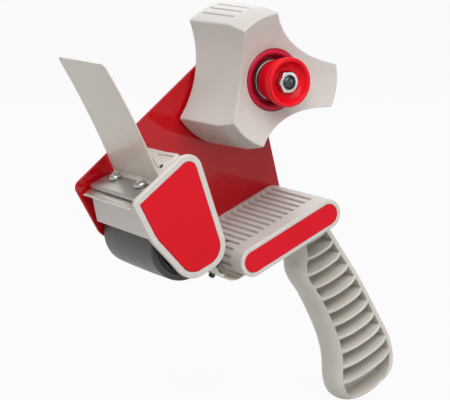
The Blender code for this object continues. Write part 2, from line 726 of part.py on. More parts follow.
def grip_section(share):
    """One section of the grip: an oval from its front to the back wall, whose edge is flat and rounded."""
    front, back = grip_edges(share)
    middle, half = (front + back) / 2, (back - front) / 2
    depth = along(GRIP_DEPTH_SHARES, share) * GRIP_DEPTH / 2
    wall = back - GRIP_BACK_WALL
    side = []
    for i in range(GRIP_SIDE_POINTS + 1):
        x = front + (wall - front) * (1 - math.cos(math.pi / 2 * i / GRIP_SIDE_POINTS))
        place = min(abs(x - middle) / half, 1)
        side.append((x, depth * (1 - place ** GRIP_OVAL_POWER) ** (1 / GRIP_OVAL_POWER)))
    rim = side[-1][1]
    side += [(back - GRIP_RIM_ROUND, rim), (back, rim - GRIP_RIM_ROUND)]
    y = GRIP_TOP - share * GRIP_LENGTH
    return [(x, y, z) for x, z in side] + [(x, y, -z) for x, z in reversed(side[1:])]


def grip_pocket_drops():
    """Where each pocket starts and ends, down from the grip's top."""
    ribs = [GRIP_FIRST_RIB + k * GRIP_RIB_PITCH for k in range(GRIP_RIBS)]
    starts = [GRIP_TOP_WALL] + [rib + GRIP_RIB_THICKNESS for rib in ribs]
    return list(zip(starts, ribs + [GRIP_LENGTH - GRIP_BOTTOM_WALL]))


def grip_pockets():
    """The pockets between the ribs, as one cutter for each side of the web."""

    def build(bm):
        for side in (-1, 1):
            for drops in grip_pocket_drops():
                corners = []
                for drop in drops:
                    front, back = grip_edges(drop / GRIP_LENGTH)
                    corners.append((front + GRIP_FRONT_WALL, back - GRIP_BACK_WALL, GRIP_TOP - drop))
                (f0, b0, y0), (f1, b1, y1) = corners
                outline = [(f0, y0), (b0, y0), (b1, y1), (f1, y1)]
                near = [bm.verts.new((x, y, side * GRIP_WEB / 2)) for x, y in outline]
                far = [bm.verts.new((x, y, side * (GRIP_DEPTH / 2 + OVERRUN))) for x, y in outline]
                bm.faces.new(near)
                bm.faces.new(far)
                for i in range(4):
                    bm.faces.new((near[i - 1], near[i], far[i], far[i - 1]))
        bmesh.ops.recalc_face_normals(bm, faces=bm.faces)

    return add_object("grip_pockets", mesh_from("grip_pockets", build))


def handle_grip():
    """The hollow oval handle: two open sides with cross ribs on a central web, and a tang for the guide."""
    sections = [grip_section(i / (GRIP_SECTIONS - 1)) for i in range(GRIP_SECTIONS)]
    grip = loft("handle_grip", sections, GREY)
    boolean(grip, grip_pockets())
    tang_y = GUIDE_BOTTOM + TANG_RISE
    neck = box(
        "grip_neck",
        (-TANG_NECK, GRIP_TOP - GRIP_TOP_WALL / 2, -TANG_DEPTH / 2),
        (TANG_REAR, tang_y + TANG_THICKNESS / 2, TANG_DEPTH / 2),
    )
    boolean(grip, neck, "UNION")
    low = (-TANG_FRONT, tang_y, -TANG_DEPTH / 2)
    high = (TANG_REAR + SEAT_GAP, tang_y + TANG_THICKNESS, TANG_DEPTH / 2)
    boolean(grip, box("grip_tang", low, high), "UNION")
    for i, back in enumerate(GRIP_SCREW_BACKS):
        top = tang_y + TANG_THICKNESS + OVERRUN
        hole = screw_hole(f"tang_hole_{i}", (-back, 0, 0), tang_y - OVERRUN, top, "Y")
        boolean(grip, hole)
        screw(f"grip_screw_{i + 1}", (-back, tang_y - SEAT_GAP, 0), (math.pi / 2, 0, 0), STEEL)
    shade(grip)


def hood_outline():
    """The hood's wall seen from the side: apron, land, rising deck and rear wall."""
    front, land_rear, rear = LAND_FRONT, LAND_REAR, HOOD_REAR
    wall = NOSE_WALL
    return [
        (front, LAND_Y), (land_rear, LAND_Y), (rear, LAND_Y + DECK_RISE),
        (rear - HOOD_REAR_INSET, LAND_Y + DECK_RISE - HOOD_REAR_LENGTH),
        (rear - HOOD_REAR_INSET - wall, LAND_Y + DECK_RISE - HOOD_REAR_LENGTH),
        (rear - wall, LAND_Y + DECK_RISE - wall), (land_rear, LAND_Y - wall), (front + wall, LAND_Y - wall),
        (front + wall - HOOD_FRONT_INSET / 2, LAND_Y - HOOD_APRON_LENGTH),
        (front - HOOD_FRONT_INSET / 2, LAND_Y - HOOD_APRON_LENGTH),
    ]


def nose_housing():
    """The grey hood over the roller, moulded with its near cheek and a far flange."""
    far = PLATE_IN + SEAT_GAP
    housing = flat("nose_housing", [hood_outline()], far, CHEEK_IN + CHEEK_THICKNESS / 2, GREY)
    boolean(housing, flat("cheek", [rounded(cheek_corners())], CHEEK_IN, CHEEK_OUT), "UNION")
    flange = [
        (LAND_FRONT + SEAT_GAP, LAND_Y - NOSE_WALL / 2), (HOOD_REAR - SEAT_GAP, LAND_Y - NOSE_WALL / 2),
        (HOOD_REAR - HOOD_REAR_INSET / 2 - SEAT_GAP, LAND_Y - NOSE_FLANGE_LENGTH),
        (LAND_FRONT + SEAT_GAP, LAND_Y - NOSE_FLANGE_LENGTH),
    ]
    boolean(housing, flat("nose_flange", [flange], far, far + NOSE_WALL), "UNION")
    places = frame_screw_places()[2:]
    for i, (x, y) in enumerate(places):
        boss = rod(f"nose_boss_{i}", NOSE_BOSS_RADIUS, far + NOSE_WALL / 2, far + NOSE_BOSS_LENGTH, (x, y, 0))
        boolean(housing, boss, "UNION")
        boolean(housing, screw_hole(f"nose_pilot_{i}", (x, y, 0), far - OVERRUN, far + SCREW_LENGTH))
    axle_boss = rod(
        "axle_boss", AXLE_BOSS_RADIUS, CHEEK_IN - AXLE_BOSS_HEIGHT, CHEEK_IN + CHEEK_THICKNESS / 4,
        (ROLLER_X, ROLLER_Y, 0), steps=FINE_STEPS,
    )
    boolean(housing, axle_boss, "UNION")
    seat = rod(
        "axle_seat", AXLE_RADIUS + SEAT_GAP, CHEEK_IN - OVERRUN, CHEEK_IN + AXLE_SEAT_DEPTH,
        (ROLLER_X, ROLLER_Y, 0), steps=FINE_STEPS,
    )
    boolean(housing, seat)
    recess = rounded(shrunk(cheek_corners(), NOSE_RIM))
    boolean(housing, flat("nose_recess", [recess], CHEEK_OUT - INSET_THICKNESS, CHEEK_OUT + OVERRUN))
    for i, z in enumerate(clamp_screw_outs()):
        hole = screw_hole(f"clamp_pilot_{i}", (clamp_screw_x(), 0, z), LAND_Y - OVERRUN, LAND_Y + OVERRUN, "Y")
        boolean(housing, hole)
    top = LAND_Y + DECK_RISE
    place = (LAND_REAR + DECK_HOLE_BACK, 0, DECK_HOLE_OUT)
    boolean(housing, rod("deck_hole", DECK_HOLE_RADIUS, LAND_Y - OVERRUN, top + OVERRUN, place, "Y"))
    shade(housing)


def nose_inset():
    """The red insert in the near cheek."""
    outline = rounded(shrunk(cheek_corners(), NOSE_RIM + SEAT_GAP))
    low, high = CHEEK_OUT - INSET_THICKNESS + SEAT_GAP, CHEEK_OUT + INSET_PROUD
    shade(flat("nose_inset", [outline], low, high, RED_INSET))


def clamp_screw_x():
    return LAND_FRONT + CLAMP_SCREW_BACK


def clamp_screw_outs():
    return (-CLAMP_SCREW_SPAN / 2, CLAMP_SCREW_SPAN / 2)


def clamp_holes(turn):
    """Screw holes for a piece that lies flat, drawn in x and z."""
    return [circle(SCREW_RADIUS + SEAT_GAP, (clamp_screw_x(), turn * z)) for z in clamp_screw_outs()]


LIE_DOWN = (math.pi / 2, 0, 0)


def cutter_blade():
    """The serrated blade: a row of triangular teeth on its front edge."""
    tip = LAND_FRONT - BLADE_REACH
    root = tip + TOOTH_DEPTH
    pitch = BLADE_WIDTH / TEETH
    half = BLADE_WIDTH / 2
    outline = [(root, -half)]
    for i in range(TEETH):
        outline.append((tip, -half + (i + 1 / 2) * pitch))
        outline.append((root, -half + (i + 1) * pitch))
    outline += [(tip + BLADE_LENGTH, half), (tip + BLADE_LENGTH, -half)]
    bottom = LAND_Y + SEAT_GAP
    low, high = -BLADE_THICKNESS / 2, BLADE_THICKNESS / 2
    flat("cutter_blade", [outline] + clamp_holes(1), low, high, SATIN, LIE_DOWN, (0, bottom - low, 0))


def foot_y():
    """The middle height of the wiper's clamped foot."""
    return LAND_Y + SEAT_GAP + BLADE_THICKNESS + SEAT_GAP + FILM_THICKNESS / 2


def clamp_y():
    """The underside of the clamp plate."""
    return foot_y() + FILM_THICKNESS / 2 + SEAT_GAP


def blade_clamp():
    """The satin steel clamp: a plate with its front edge folded down over the film."""
    front = LAND_FRONT + CLAMP_SETBACK
    rear = LAND_FRONT + BLADE_LENGTH - BLADE_REACH
    low = clamp_y()
    top = low + CLAMP_THICKNESS
    outline = [
        (rear, low), (rear, top), (front + CLAMP_THICKNESS / 2, top), (front, top - CLAMP_THICKNESS / 2),
        (front, low - CLAMP_FOLD_DROP + SEAT_GAP),
        (front + CLAMP_THICKNESS / 2, low - CLAMP_FOLD_DROP + SEAT_GAP),
        (front + CLAMP_THICKNESS / 2, low),
    ]
    clamp = flat("blade_clamp", [outline], -CLAMP_WIDTH / 2, CLAMP_WIDTH / 2, SATIN)
    for i, z in enumerate(clamp_screw_outs()):
        place = (clamp_screw_x(), 0, z)
        boolean(clamp, screw_hole(f"clamp_hole_{i}", place, low - OVERRUN, top + OVERRUN, "Y"))
        screw(f"clamp_screw_{i + 1}", (place[0], top + SEAT_GAP, z), (-math.pi / 2, 0, 0), STEEL)


def strip(path, thickness):
    """The outline of a thin strip that follows a path."""
    sides = ([], [])
    for i, point in enumerate(path):
        ahead = Vector(path[min(i + 1, len(path) - 1)])
        behind = Vector(path[max(i - 1, 0)])
        run = (ahead - behind).normalized()
        for side, sign in zip(sides, (1, -1)):
            side.append((point[0] - sign * run.y * thickness / 2, point[1] + sign * run.x * thickness / 2))
    return sides[0] + sides[1][::-1]


def wiper_hinge():
    """Where the film starts to bend: the top of its curve out of the clamp."""
    rear = LAND_FRONT + BLADE_LENGTH - BLADE_REACH
    return Vector((rear + WIPER_BEND_RADIUS, foot_y() + WIPER_BEND_RADIUS))


def wiper_foot():
    """The film's foot: flat under the clamp, then a quarter bend upwards."""
    hinge = wiper_hinge()
    path = [(LAND_FRONT + CLAMP_SETBACK + CLAMP_THICKNESS, foot_y())]
    for i in range(BEND_STEPS + 1):
        x, y = polar(WIPER_BEND_RADIUS, -math.pi / 2 * (1 - i / BEND_STEPS))
        path.append((hinge.x - WIPER_BEND_RADIUS + x, hinge.y + y))
    foot = flat("wiper_foot", [strip(path, FILM_THICKNESS)], -WIPER_WIDTH / 2, WIPER_WIDTH / 2, FILM)
    for i, z in enumerate(clamp_screw_outs()):
        place = (clamp_screw_x(), 0, z)
        boolean(foot, screw_hole(f"foot_hole_{i}", place, foot_y() - OVERRUN, foot_y() + OVERRUN, "Y"))


def wiper_flap():
    """The film's free part: it rises from its foot, leans forward towards its top and has round corners."""
    hinge = wiper_hinge()
    path = []
    for i in range(WIPER_STEPS + 1):
        share = i / WIPER_STEPS
        path.append((-WIPER_LEAN * share * share, SEAT_GAP + share * WIPER_HEIGHT))
    flap = flat("wiper_flap", [strip(path, FILM_THICKNESS)], -WIPER_WIDTH / 2, WIPER_WIDTH / 2, FILM,
                location=(hinge.x, hinge.y, 0))
    half, top = WIPER_WIDTH / 2, SEAT_GAP + WIPER_HEIGHT
    frame = [(-half, -OVERRUN, 0), (half, -OVERRUN, 0), (half, top, WIPER_CORNER), (-half, top, WIPER_CORNER)]
    keep = flat("wiper_outline", [rounded(frame)], -WIPER_LEAN - OVERRUN, WIPER_LEAN + OVERRUN,
                rotation=(0, math.pi / 2, 0), location=(hinge.x, hinge.y, 0))
    boolean(flap, keep, "INTERSECT")
    shade(flap)


def roller():
    """The rubber tyre on its plastic core, the axle through the plate, and what holds it."""
    half = TAPE_WIDTH / 2 - SEAT_GAP
    place = (ROLLER_X, ROLLER_Y, 0)
    bore = ROLLER_RADIUS - TYRE_THICKNESS
    edge = ROLLER_RADIUS - TYRE_CROWN
    tyre = [
        (bore, half), (edge - TYRE_CROWN, half), (edge, half - TYRE_CROWN), (ROLLER_RADIUS, half / 2),
        (ROLLER_RADIUS, -half / 2), (edge, -half + TYRE_CROWN), (edge - TYRE_CROWN, -half), (bore, -half),
    ]
    shade(turned("roller_tyre", tyre, RUBBER, place))
    rim, inner, shaft = bore - SEAT_GAP, bore - SEAT_GAP - CORE_RIM, AXLE_RADIUS + RUN_CLEARANCE
    web = CORE_WEB / 2
    core = [
        (shaft, half), (CORE_HUB_RADIUS, half), (CORE_HUB_RADIUS, web), (inner, web), (inner, half),
        (rim, half), (rim, -half), (inner, -half), (inner, -web), (CORE_HUB_RADIUS, -web),
        (CORE_HUB_RADIUS, -half), (shaft, -half),
    ]
    shade(turned("roller_core", core, BLACK, place))
    end = CHEEK_IN + AXLE_SEAT_DEPTH - SEAT_GAP
    low = PLATE_OUT - SEAT_GAP - AXLE_NUT_HEIGHT - AXLE_CHAMFER
    neck = AXLE_RADIUS - AXLE_CHAMFER
    axle = [
        (0, end), (neck, end), (AXLE_RADIUS, end - AXLE_CHAMFER),
        (AXLE_RADIUS, low + AXLE_CHAMFER), (neck, low), (0, low),
    ]
    shade(turned("roller_axle", axle, STEEL, place, steps=PLAIN_STEPS))
    spacer = ring(shaft, CORE_HUB_RADIUS, PLATE_IN + SEAT_GAP, -half - SEAT_GAP)
    shade(turned("axle_spacer", spacer, STEEL, place, steps=PLAIN_STEPS))
    nut_top = PLATE_OUT - SEAT_GAP
    outlines = [hexagon(AXLE_NUT_FLATS), circle(AXLE_RADIUS + SEAT_GAP)]
    flat("axle_nut", outlines, nut_top - AXLE_NUT_HEIGHT, nut_top, STEEL, location=place)


def hub_outline(inset, height, slope=0):
    """The hub's three-lobed outline, drawn in by an inset, and its lobes' ends by a slope more."""
    tip = HUB_TIP_RADIUS - inset - slope
    valley = HUB_VALLEY_RADIUS - inset
    spread = math.asin((HUB_LOBE_WIDTH / 2 - inset) / tip)
    points = []
    for lobe in range(3):
        middle = math.pi / 2 + lobe * math.tau / 3
        for i in range(TIP_ARC_STEPS + 1):
            points.append(polar(tip, middle - spread + 2 * spread * i / TIP_ARC_STEPS))
        start = polar(tip, middle + spread)
        end = polar(tip, middle + math.tau / 3 - spread)
        points += arc_through(start, polar(valley, middle + math.pi / 3), end, VALLEY_ARC_STEPS)
    return [(x, y, height) for x, y in points]


def dish_height(radius):
    """How far out the hub's dished face lies at a radius."""
    tip = HUB_TIP_RADIUS - HUB_DRAFT - LEAD_IN_DEPTH
    return HUB_LENGTH / 2 - DISH_DEPTH * (1 - (radius / tip) ** 2)


def dish_profile(lift, inner):
    """Points down the dish from beyond the tips to an inner radius, lifted outwards."""
    outer = HUB_TIP_RADIUS + OVERRUN
    radii = [outer + (inner - outer) * i / DISH_STEPS for i in range(DISH_STEPS + 1)]
    return [(radius, dish_height(radius) + lift) for radius in radii]


def hub_cavity():
    """The hub's open inside, seen from the plate's side: clear of the face, the boss and three ribs."""
    wall = HUB_WALL
    half = HUB_LENGTH / 2
    cavity = loft("hub_cavity", [
        hub_outline(wall, -half - OVERRUN),
        hub_outline(wall + HUB_DRAFT, half - LEAD_IN_LENGTH),
        hub_outline(wall + HUB_DRAFT, half, LEAD_IN_DEPTH),
    ])
    seat = CUP_RADIUS + SEAT_GAP + wall
    top = half + DISH_DEPTH
    form = [(0, top), (HUB_TIP_RADIUS + OVERRUN, top)] + dish_profile(-wall, seat)
    form += [(seat, CUP_FLOOR_OUT - wall), (HUB_BOSS_RADIUS, CUP_FLOOR_OUT - wall)]
    form += [(HUB_BOSS_RADIUS, -half - 2 * OVERRUN), (0, -half - 2 * OVERRUN)]
    boolean(cavity, turned("hub_form", form))
    for i in range(3):
        rib = box(f"hub_rib_{i}", (0, -HUB_RIB / 2, -half - 2 * OVERRUN), (HUB_TIP_RADIUS, HUB_RIB / 2, half))
        angle = math.pi / 2 + i * math.tau / 3
        rib.rotation_euler = (0, 0, angle)
        rib.location = (*polar(HUB_TIP_RADIUS / 2, angle), -OVERRUN)
        boolean(cavity, rib)
    return cavity


def friction_face():
    """Where the hub's boss meets the friction washer, inside the shell."""
    return PLATE_IN + NUT_HEIGHT + WASHER_THICKNESS + 3 * SEAT_GAP


def core_hub():
    """The grey hub: a three-lobed shell with a dished face, a cup seat and grooved lobe ends."""
    half = HUB_LENGTH / 2
    hub = loft("core_hub", [
        hub_outline(0, -half),
        hub_outline(HUB_DRAFT, half - LEAD_IN_LENGTH),
        hub_outline(HUB_DRAFT, half, LEAD_IN_DEPTH),
    ], GREY)
    boolean(hub, hub_cavity())
    top = half + DISH_DEPTH
    dish = [(0, top), (HUB_TIP_RADIUS + OVERRUN, top + OVERRUN)] + dish_profile(0, 0)
    boolean(hub, turned("hub_dish", dish))
    boolean(hub, rod("cup_seat", CUP_RADIUS + SEAT_GAP, CUP_FLOOR_OUT, top, (0, 0, 0), steps=FINE_STEPS))
    boolean(hub, rod("hub_bore", BOLT_RADIUS + RUN_CLEARANCE, -half - OVERRUN, top, (0, 0, 0)))
    boolean(hub, rod("boss_trim", HUB_BOSS_RADIUS + OVERRUN, -half - OVERRUN, friction_face(), (0, 0, 0)))
    groove_end = half - LEAD_IN_LENGTH - HUB_GROOVE_MARGIN
    for lobe in range(3):
        middle = math.pi / 2 + lobe * math.tau / 3
        for i in range(HUB_GROOVES):
            offset = (i - (HUB_GROOVES - 1) / 2) * HUB_GROOVE_PITCH
            floor = math.sqrt(HUB_TIP_RADIUS ** 2 - offset ** 2) - HUB_DRAFT - HUB_GROOVE_DEPTH
            low = (floor, offset - HUB_GROOVE_WIDTH / 2, -half + HUB_GROOVE_MARGIN)
            high = (HUB_TIP_RADIUS + OVERRUN, offset + HUB_GROOVE_WIDTH / 2, groove_end)
            groove = box(f"hub_groove_{lobe}_{i}", low, high)
            groove.rotation_euler = (0, 0, middle)
            groove.location.rotate(groove.rotation_euler)
            boolean(hub, groove)
    shade(hub)


def knob_nut_base():
    """Height of the nut in the knob's pocket."""
    return KNOB_RIM_OUT - KNOB_DISH_DEPTH - NUT_POCKET_DEPTH + SEAT_GAP


def brake_parts():
    """Everything on the hub's bolt, from its head outside the plate to the nut in the knob."""
    seat = PLATE_OUT - SEAT_GAP
    head, end = BOLT_HEAD_FLATS / 2, seat - BOLT_HEAD_HEIGHT
    reach = knob_nut_base() + NUT_HEIGHT + THREAD_SHOWING
    core, thread_end = THREAD_CORE_RADIUS, reach - THREAD_LENGTH
    bolt = [
        (0, reach), (core / 2, reach - core / 6), (core, reach - core / 2), (core, thread_end),
        (BOLT_RADIUS, thread_end), (BOLT_RADIUS, seat), (head, seat),
        (head, end + BOLT_HEAD_HEIGHT / 3), (head * 2 / 3, end), (0, end),
    ]
    shade(turned("hub_bolt", bolt, STEEL, steps=PLAIN_STEPS))
    bore = BOLT_RADIUS + SEAT_GAP
    low = PLATE_IN + SEAT_GAP
    flat("hub_lock_nut", [hexagon(NUT_FLATS), circle(bore)], low, low + NUT_HEIGHT, STEEL)
    low += NUT_HEIGHT + SEAT_GAP
    shade(turned("friction_washer", ring(bore, FRICTION_WASHER_RADIUS, low, low + WASHER_THICKNESS), FIBRE))
    floor = CUP_FLOOR_OUT + SEAT_GAP
    lip_top = dish_height(CUP_RADIUS) + CUP_PROUD
    well = CUP_RADIUS - CUP_LIP
    edge = CUP_LIP / 4
    cup = [
        (well, lip_top - edge), (well + edge, lip_top), (CUP_RADIUS - edge, lip_top),
        (CUP_RADIUS, lip_top - edge), (CUP_RADIUS, floor), (bore, floor), (bore, floor + CUP_FLOOR),
        (well, floor + CUP_FLOOR),
    ]
    shade(turned("brake_cup", cup, RED_KNOB))
    washer = floor + CUP_FLOOR + SEAT_GAP
    shade(turned("cup_washer", ring(bore, CUP_WASHER_RADIUS, washer, washer + WASHER_THICKNESS), STEEL))
    roof = KNOB_BASE_OUT + KNOB_HOLLOW_DEPTH
    press = roof - SEAT_GAP - WASHER_THICKNESS
    shade(turned("knob_washer", ring(bore, KNOB_WASHER_RADIUS, press, press + WASHER_THICKNESS), STEEL))
    brake_spring(washer + WASHER_THICKNESS + SEAT_GAP, press - SEAT_GAP)
    brake_knob(roof)


def brake_spring(low, high):
    """The compression spring: one wire wound between the two washers."""
    start, end = low + SPRING_WIRE, high - SPRING_WIRE
    count = SPRING_TURNS * SPRING_POINTS_PER_TURN
    points = []
    for i in range(count + 1):
        angle = math.tau * i / SPRING_POINTS_PER_TURN
        points.append((*polar(SPRING_RADIUS, angle), start + (end - start) * i / count))
    gap = (end - start) / SPRING_TURNS - 2 * SPRING_WIRE
    print(f"brake spring: least gap between turns {gap / MM:.2f} mm")
    tube("brake_spring", points, SPRING_WIRE, STEEL, sides=1)


def brake_knob(roof):
    """The red knob: a hollow base over the spring, a web with a hexagon pocket, and a dished face."""
    rim, base, neck_top = KNOB_RIM_OUT, KNOB_BASE_OUT, KNOB_BASE_OUT + KNOB_NECK_LENGTH
    floor = rim - KNOB_DISH_DEPTH
    lip = KNOB_RADIUS - KNOB_RIM_WIDTH
    round_off = KNOB_RIM_WIDTH / 3
    bore = KNOB_BORE_RADIUS
    profile = [
        (bore, floor), (KNOB_DISH_FLOOR_RADIUS, floor),
        ((KNOB_DISH_FLOOR_RADIUS + lip) / 2, floor + KNOB_DISH_DEPTH / 3),
        (lip, rim - round_off), (lip + round_off, rim), (KNOB_RADIUS - round_off, rim),
        (KNOB_RADIUS, rim - round_off), (KNOB_RADIUS, neck_top + round_off), (KNOB_NECK_RADIUS, neck_top),
        (KNOB_NECK_RADIUS, base), (KNOB_HOLLOW_RADIUS, base), (KNOB_HOLLOW_RADIUS, roof), (bore, roof),
    ]
    knob = turned("brake_knob", profile, RED_KNOB)
    low = knob_nut_base()
    pocket = flat("nut_pocket", [hexagon(NUT_FLATS + 2 * SEAT_GAP)], low - SEAT_GAP, rim + OVERRUN)
    boolean(knob, pocket)
    shade(knob)
    flat("knob_nut", [hexagon(NUT_FLATS), circle(KNOB_NUT_BORE_RADIUS)], low, low + NUT_HEIGHT, STEEL)


def finger_pivot():
    """The wire finger's pivot, in the slot at the guide's front."""
    return Vector((GUIDE_FRONT + FINGER_PIVOT_BACK, GUIDE_TOP - FINGER_PIVOT_DROP, FINGER_OUT))


def retainer_finger():
    """One bent wire: a leg that turns in the guide, a bend, and a finger with a bead at its end."""
    pivot = finger_pivot()
    aim = Vector((-FINGER_REACH, -FINGER_FALL, 0))
    run = aim.normalized()
    bead = FINGER_WIRE * FINGER_BEAD_SHARE
    points = [
        (0, 0, FINGER_LEG), (0, 0, FINGER_BEND), run * FINGER_BEND / 4 + Vector((0, 0, FINGER_BEND / 4)),
        run * FINGER_BEND, aim - run * bead, aim - run * bead / 2, aim, aim + run * bead / 2, aim + run * bead,
    ]
    shares = [1, 1, 1, 1, 1, FINGER_SHOULDER_SHARE, FINGER_BEAD_SHARE, FINGER_SHOULDER_SHARE, 1]
    shade(tube("retainer_finger", points, FINGER_WIRE, BLACK, shares, location=pivot))


def tongue_root():
    """The tongue's hinge line, at the front edge of its foot under the guide."""
    return Vector((GUIDE_FRONT + TONGUE_ROOT_BACK, GUIDE_BOTTOM - SEAT_GAP - TONGUE_THICKNESS / 2))


def tape_tongue():
    """The pale film tongue: a foot riveted under the guide, and a slit free part that curls up in front."""
    root = tongue_root()
    half = TONGUE_WIDTH / 2
    thin = TONGUE_THICKNESS / 2
    rivets = (-RIVET_SPAN / 2, RIVET_SPAN / 2)
    holes = [circle(RIVET_RADIUS + SEAT_GAP, (TONGUE_FOOT_LENGTH / 2, -z)) for z in rivets]
    outline = [(0, -half), (TONGUE_FOOT_LENGTH, -half), (TONGUE_FOOT_LENGTH, half), (0, half)]
    flat("tongue_foot", [outline] + holes, -thin, thin, FILM, LIE_DOWN, (root.x, root.y, 0))
    path = []
    for i in range(TONGUE_STEPS + 1):
        angle = math.pi / 2 * i / TONGUE_STEPS
        path.append((-SEAT_GAP - TONGUE_REACH * math.sin(angle), TONGUE_RISE * (1 - math.cos(angle))))
    leaf = [strip(path, TONGUE_THICKNESS)]
    tongue = flat("tape_tongue", leaf, -half, half, FILM, location=(root.x, root.y, 0))
    low = (root.x - TONGUE_REACH - OVERRUN, root.y - OVERRUN, FINGER_OUT - TONGUE_SLIT / 2)
    high = (root.x - TONGUE_ROOT_BACK, root.y + TONGUE_RISE + OVERRUN, FINGER_OUT + TONGUE_SLIT / 2)
    boolean(tongue, box("tongue_slit", low, high))
    shade(tongue)
    head = RIVET_HEAD_RADIUS
    profile = [
        (0, RIVET_HEAD_HEIGHT), (head / 2, RIVET_HEAD_HEIGHT), (head, 0), (RIVET_RADIUS, 0),
        (RIVET_RADIUS, -RIVET_LENGTH), (0, -RIVET_LENGTH),
    ]
    for i, z in enumerate(rivets):
        place = (root.x + TONGUE_FOOT_LENGTH / 2, root.y - thin - SEAT_GAP, z)
        turned(f"tongue_rivet_{i + 1}", profile, STEEL, place, (math.pi / 2, 0, 0), PLAIN_STEPS)


def stand_up():
    """Place the frame so that the part's lowest point is at z = 0 and its box is centred on the origin."""
    bpy.context.view_layer.update()
    graph = bpy.context.evaluated_depsgraph_get()
    places = []
    for obj in PART.objects:
        if obj.type == "MESH":
            solid = obj.evaluated_get(graph)
            places += [solid.matrix_world @ vert.co for vert in solid.data.vertices]
    low = [min(place[axis] for place in places) for axis in range(3)]
    high = [max(place[axis] for place in places) for axis in range(3)]
    HOLD_FRAME.location = (-(low[0] + high[0]) / 2, -(low[1] + high[1]) / 2, -low[2])


side_frame()
frame_screws()
guide_body()
guide_inset()
handle_grip()
nose_housing()
nose_inset()
cutter_blade()
blade_clamp()
wiper_foot()
wiper_flap()
roller()
core_hub()
brake_parts()
retainer_finger()
tape_tongue()
stand_up()
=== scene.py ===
"""Looks of the hand-held packing tape dispenser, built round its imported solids.

Shapes are worked out in millimetres in the tool's own side view: x runs rearward along the tape guide, y up
from it, and z out to the open side where the roll is loaded. The hub's axis is x = y = 0 and the middle of
the tape is z = 0. to_world stands them up as the tool is held."""
import math

import bmesh
import bpy
import numpy as np
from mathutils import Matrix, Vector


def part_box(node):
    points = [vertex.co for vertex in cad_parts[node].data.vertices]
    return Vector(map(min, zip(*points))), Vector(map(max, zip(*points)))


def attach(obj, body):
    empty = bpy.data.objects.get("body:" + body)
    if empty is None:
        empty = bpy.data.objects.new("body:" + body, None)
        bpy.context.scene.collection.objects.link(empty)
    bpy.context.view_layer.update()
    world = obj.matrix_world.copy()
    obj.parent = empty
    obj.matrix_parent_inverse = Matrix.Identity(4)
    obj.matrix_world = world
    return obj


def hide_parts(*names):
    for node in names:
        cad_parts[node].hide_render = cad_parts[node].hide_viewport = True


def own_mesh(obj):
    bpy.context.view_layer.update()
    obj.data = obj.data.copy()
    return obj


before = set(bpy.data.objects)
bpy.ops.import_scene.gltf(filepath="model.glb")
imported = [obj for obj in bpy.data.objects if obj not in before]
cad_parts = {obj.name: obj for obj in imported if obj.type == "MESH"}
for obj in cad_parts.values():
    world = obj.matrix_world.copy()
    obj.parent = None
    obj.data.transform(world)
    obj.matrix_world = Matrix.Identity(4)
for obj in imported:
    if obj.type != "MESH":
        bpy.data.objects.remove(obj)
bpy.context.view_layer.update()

MM = 0.001
HOLD_TILT = math.radians(23)
SEAT_GAP = 0.3
PLATE_IN = -26.0
PLATE_OUT = -27.5
SOFT_STEPS = 4
SHARP_ANGLE = math.radians(38)


def middle_of(name):
    low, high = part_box(name)
    return (low + high) / 2


HUB_AXIS = middle_of("friction_washer")
TAPE_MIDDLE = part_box("side_frame")[0].y + PLATE_IN * MM


def to_world(points):
    """Side view to the standing tool: a turn about the hub's axis by the hold tilt, then a shift to that
    axis."""
    x, y, z = np.moveaxis(np.asarray(points, float) * MM, -1, 0)
    c, s = math.cos(HOLD_TILT), math.sin(HOLD_TILT)
    return np.stack([HUB_AXIS.x + x * c - y * s, TAPE_MIDDLE - z, HUB_AXIS.z + x * s + y * c], -1)


# ---- materials


def linear(code):
    """An sRGB hex colour as linear red, green, blue and alpha."""
    parts = np.array([int(code[i:i + 2], 16) for i in (1, 3, 5)]) / 255
    low = parts <= 0.04045
    return (*np.where(low, parts / 12.92, ((parts + 0.055) / 1.055) ** 2.4), 1.0)


def node(tree, kind, inputs=(), **settings):
    """Add one shader node: settings are its properties, inputs its socket values or the sockets that feed
    them."""
    made = tree.nodes.new(kind)
    for name, value in settings.items():
        setattr(made, name, value)
    for socket, value in dict(inputs).items():
        if isinstance(value, bpy.types.NodeSocket):
            tree.links.new(value, made.inputs[socket])
        else:
            made.inputs[socket].default_value = value
    return made


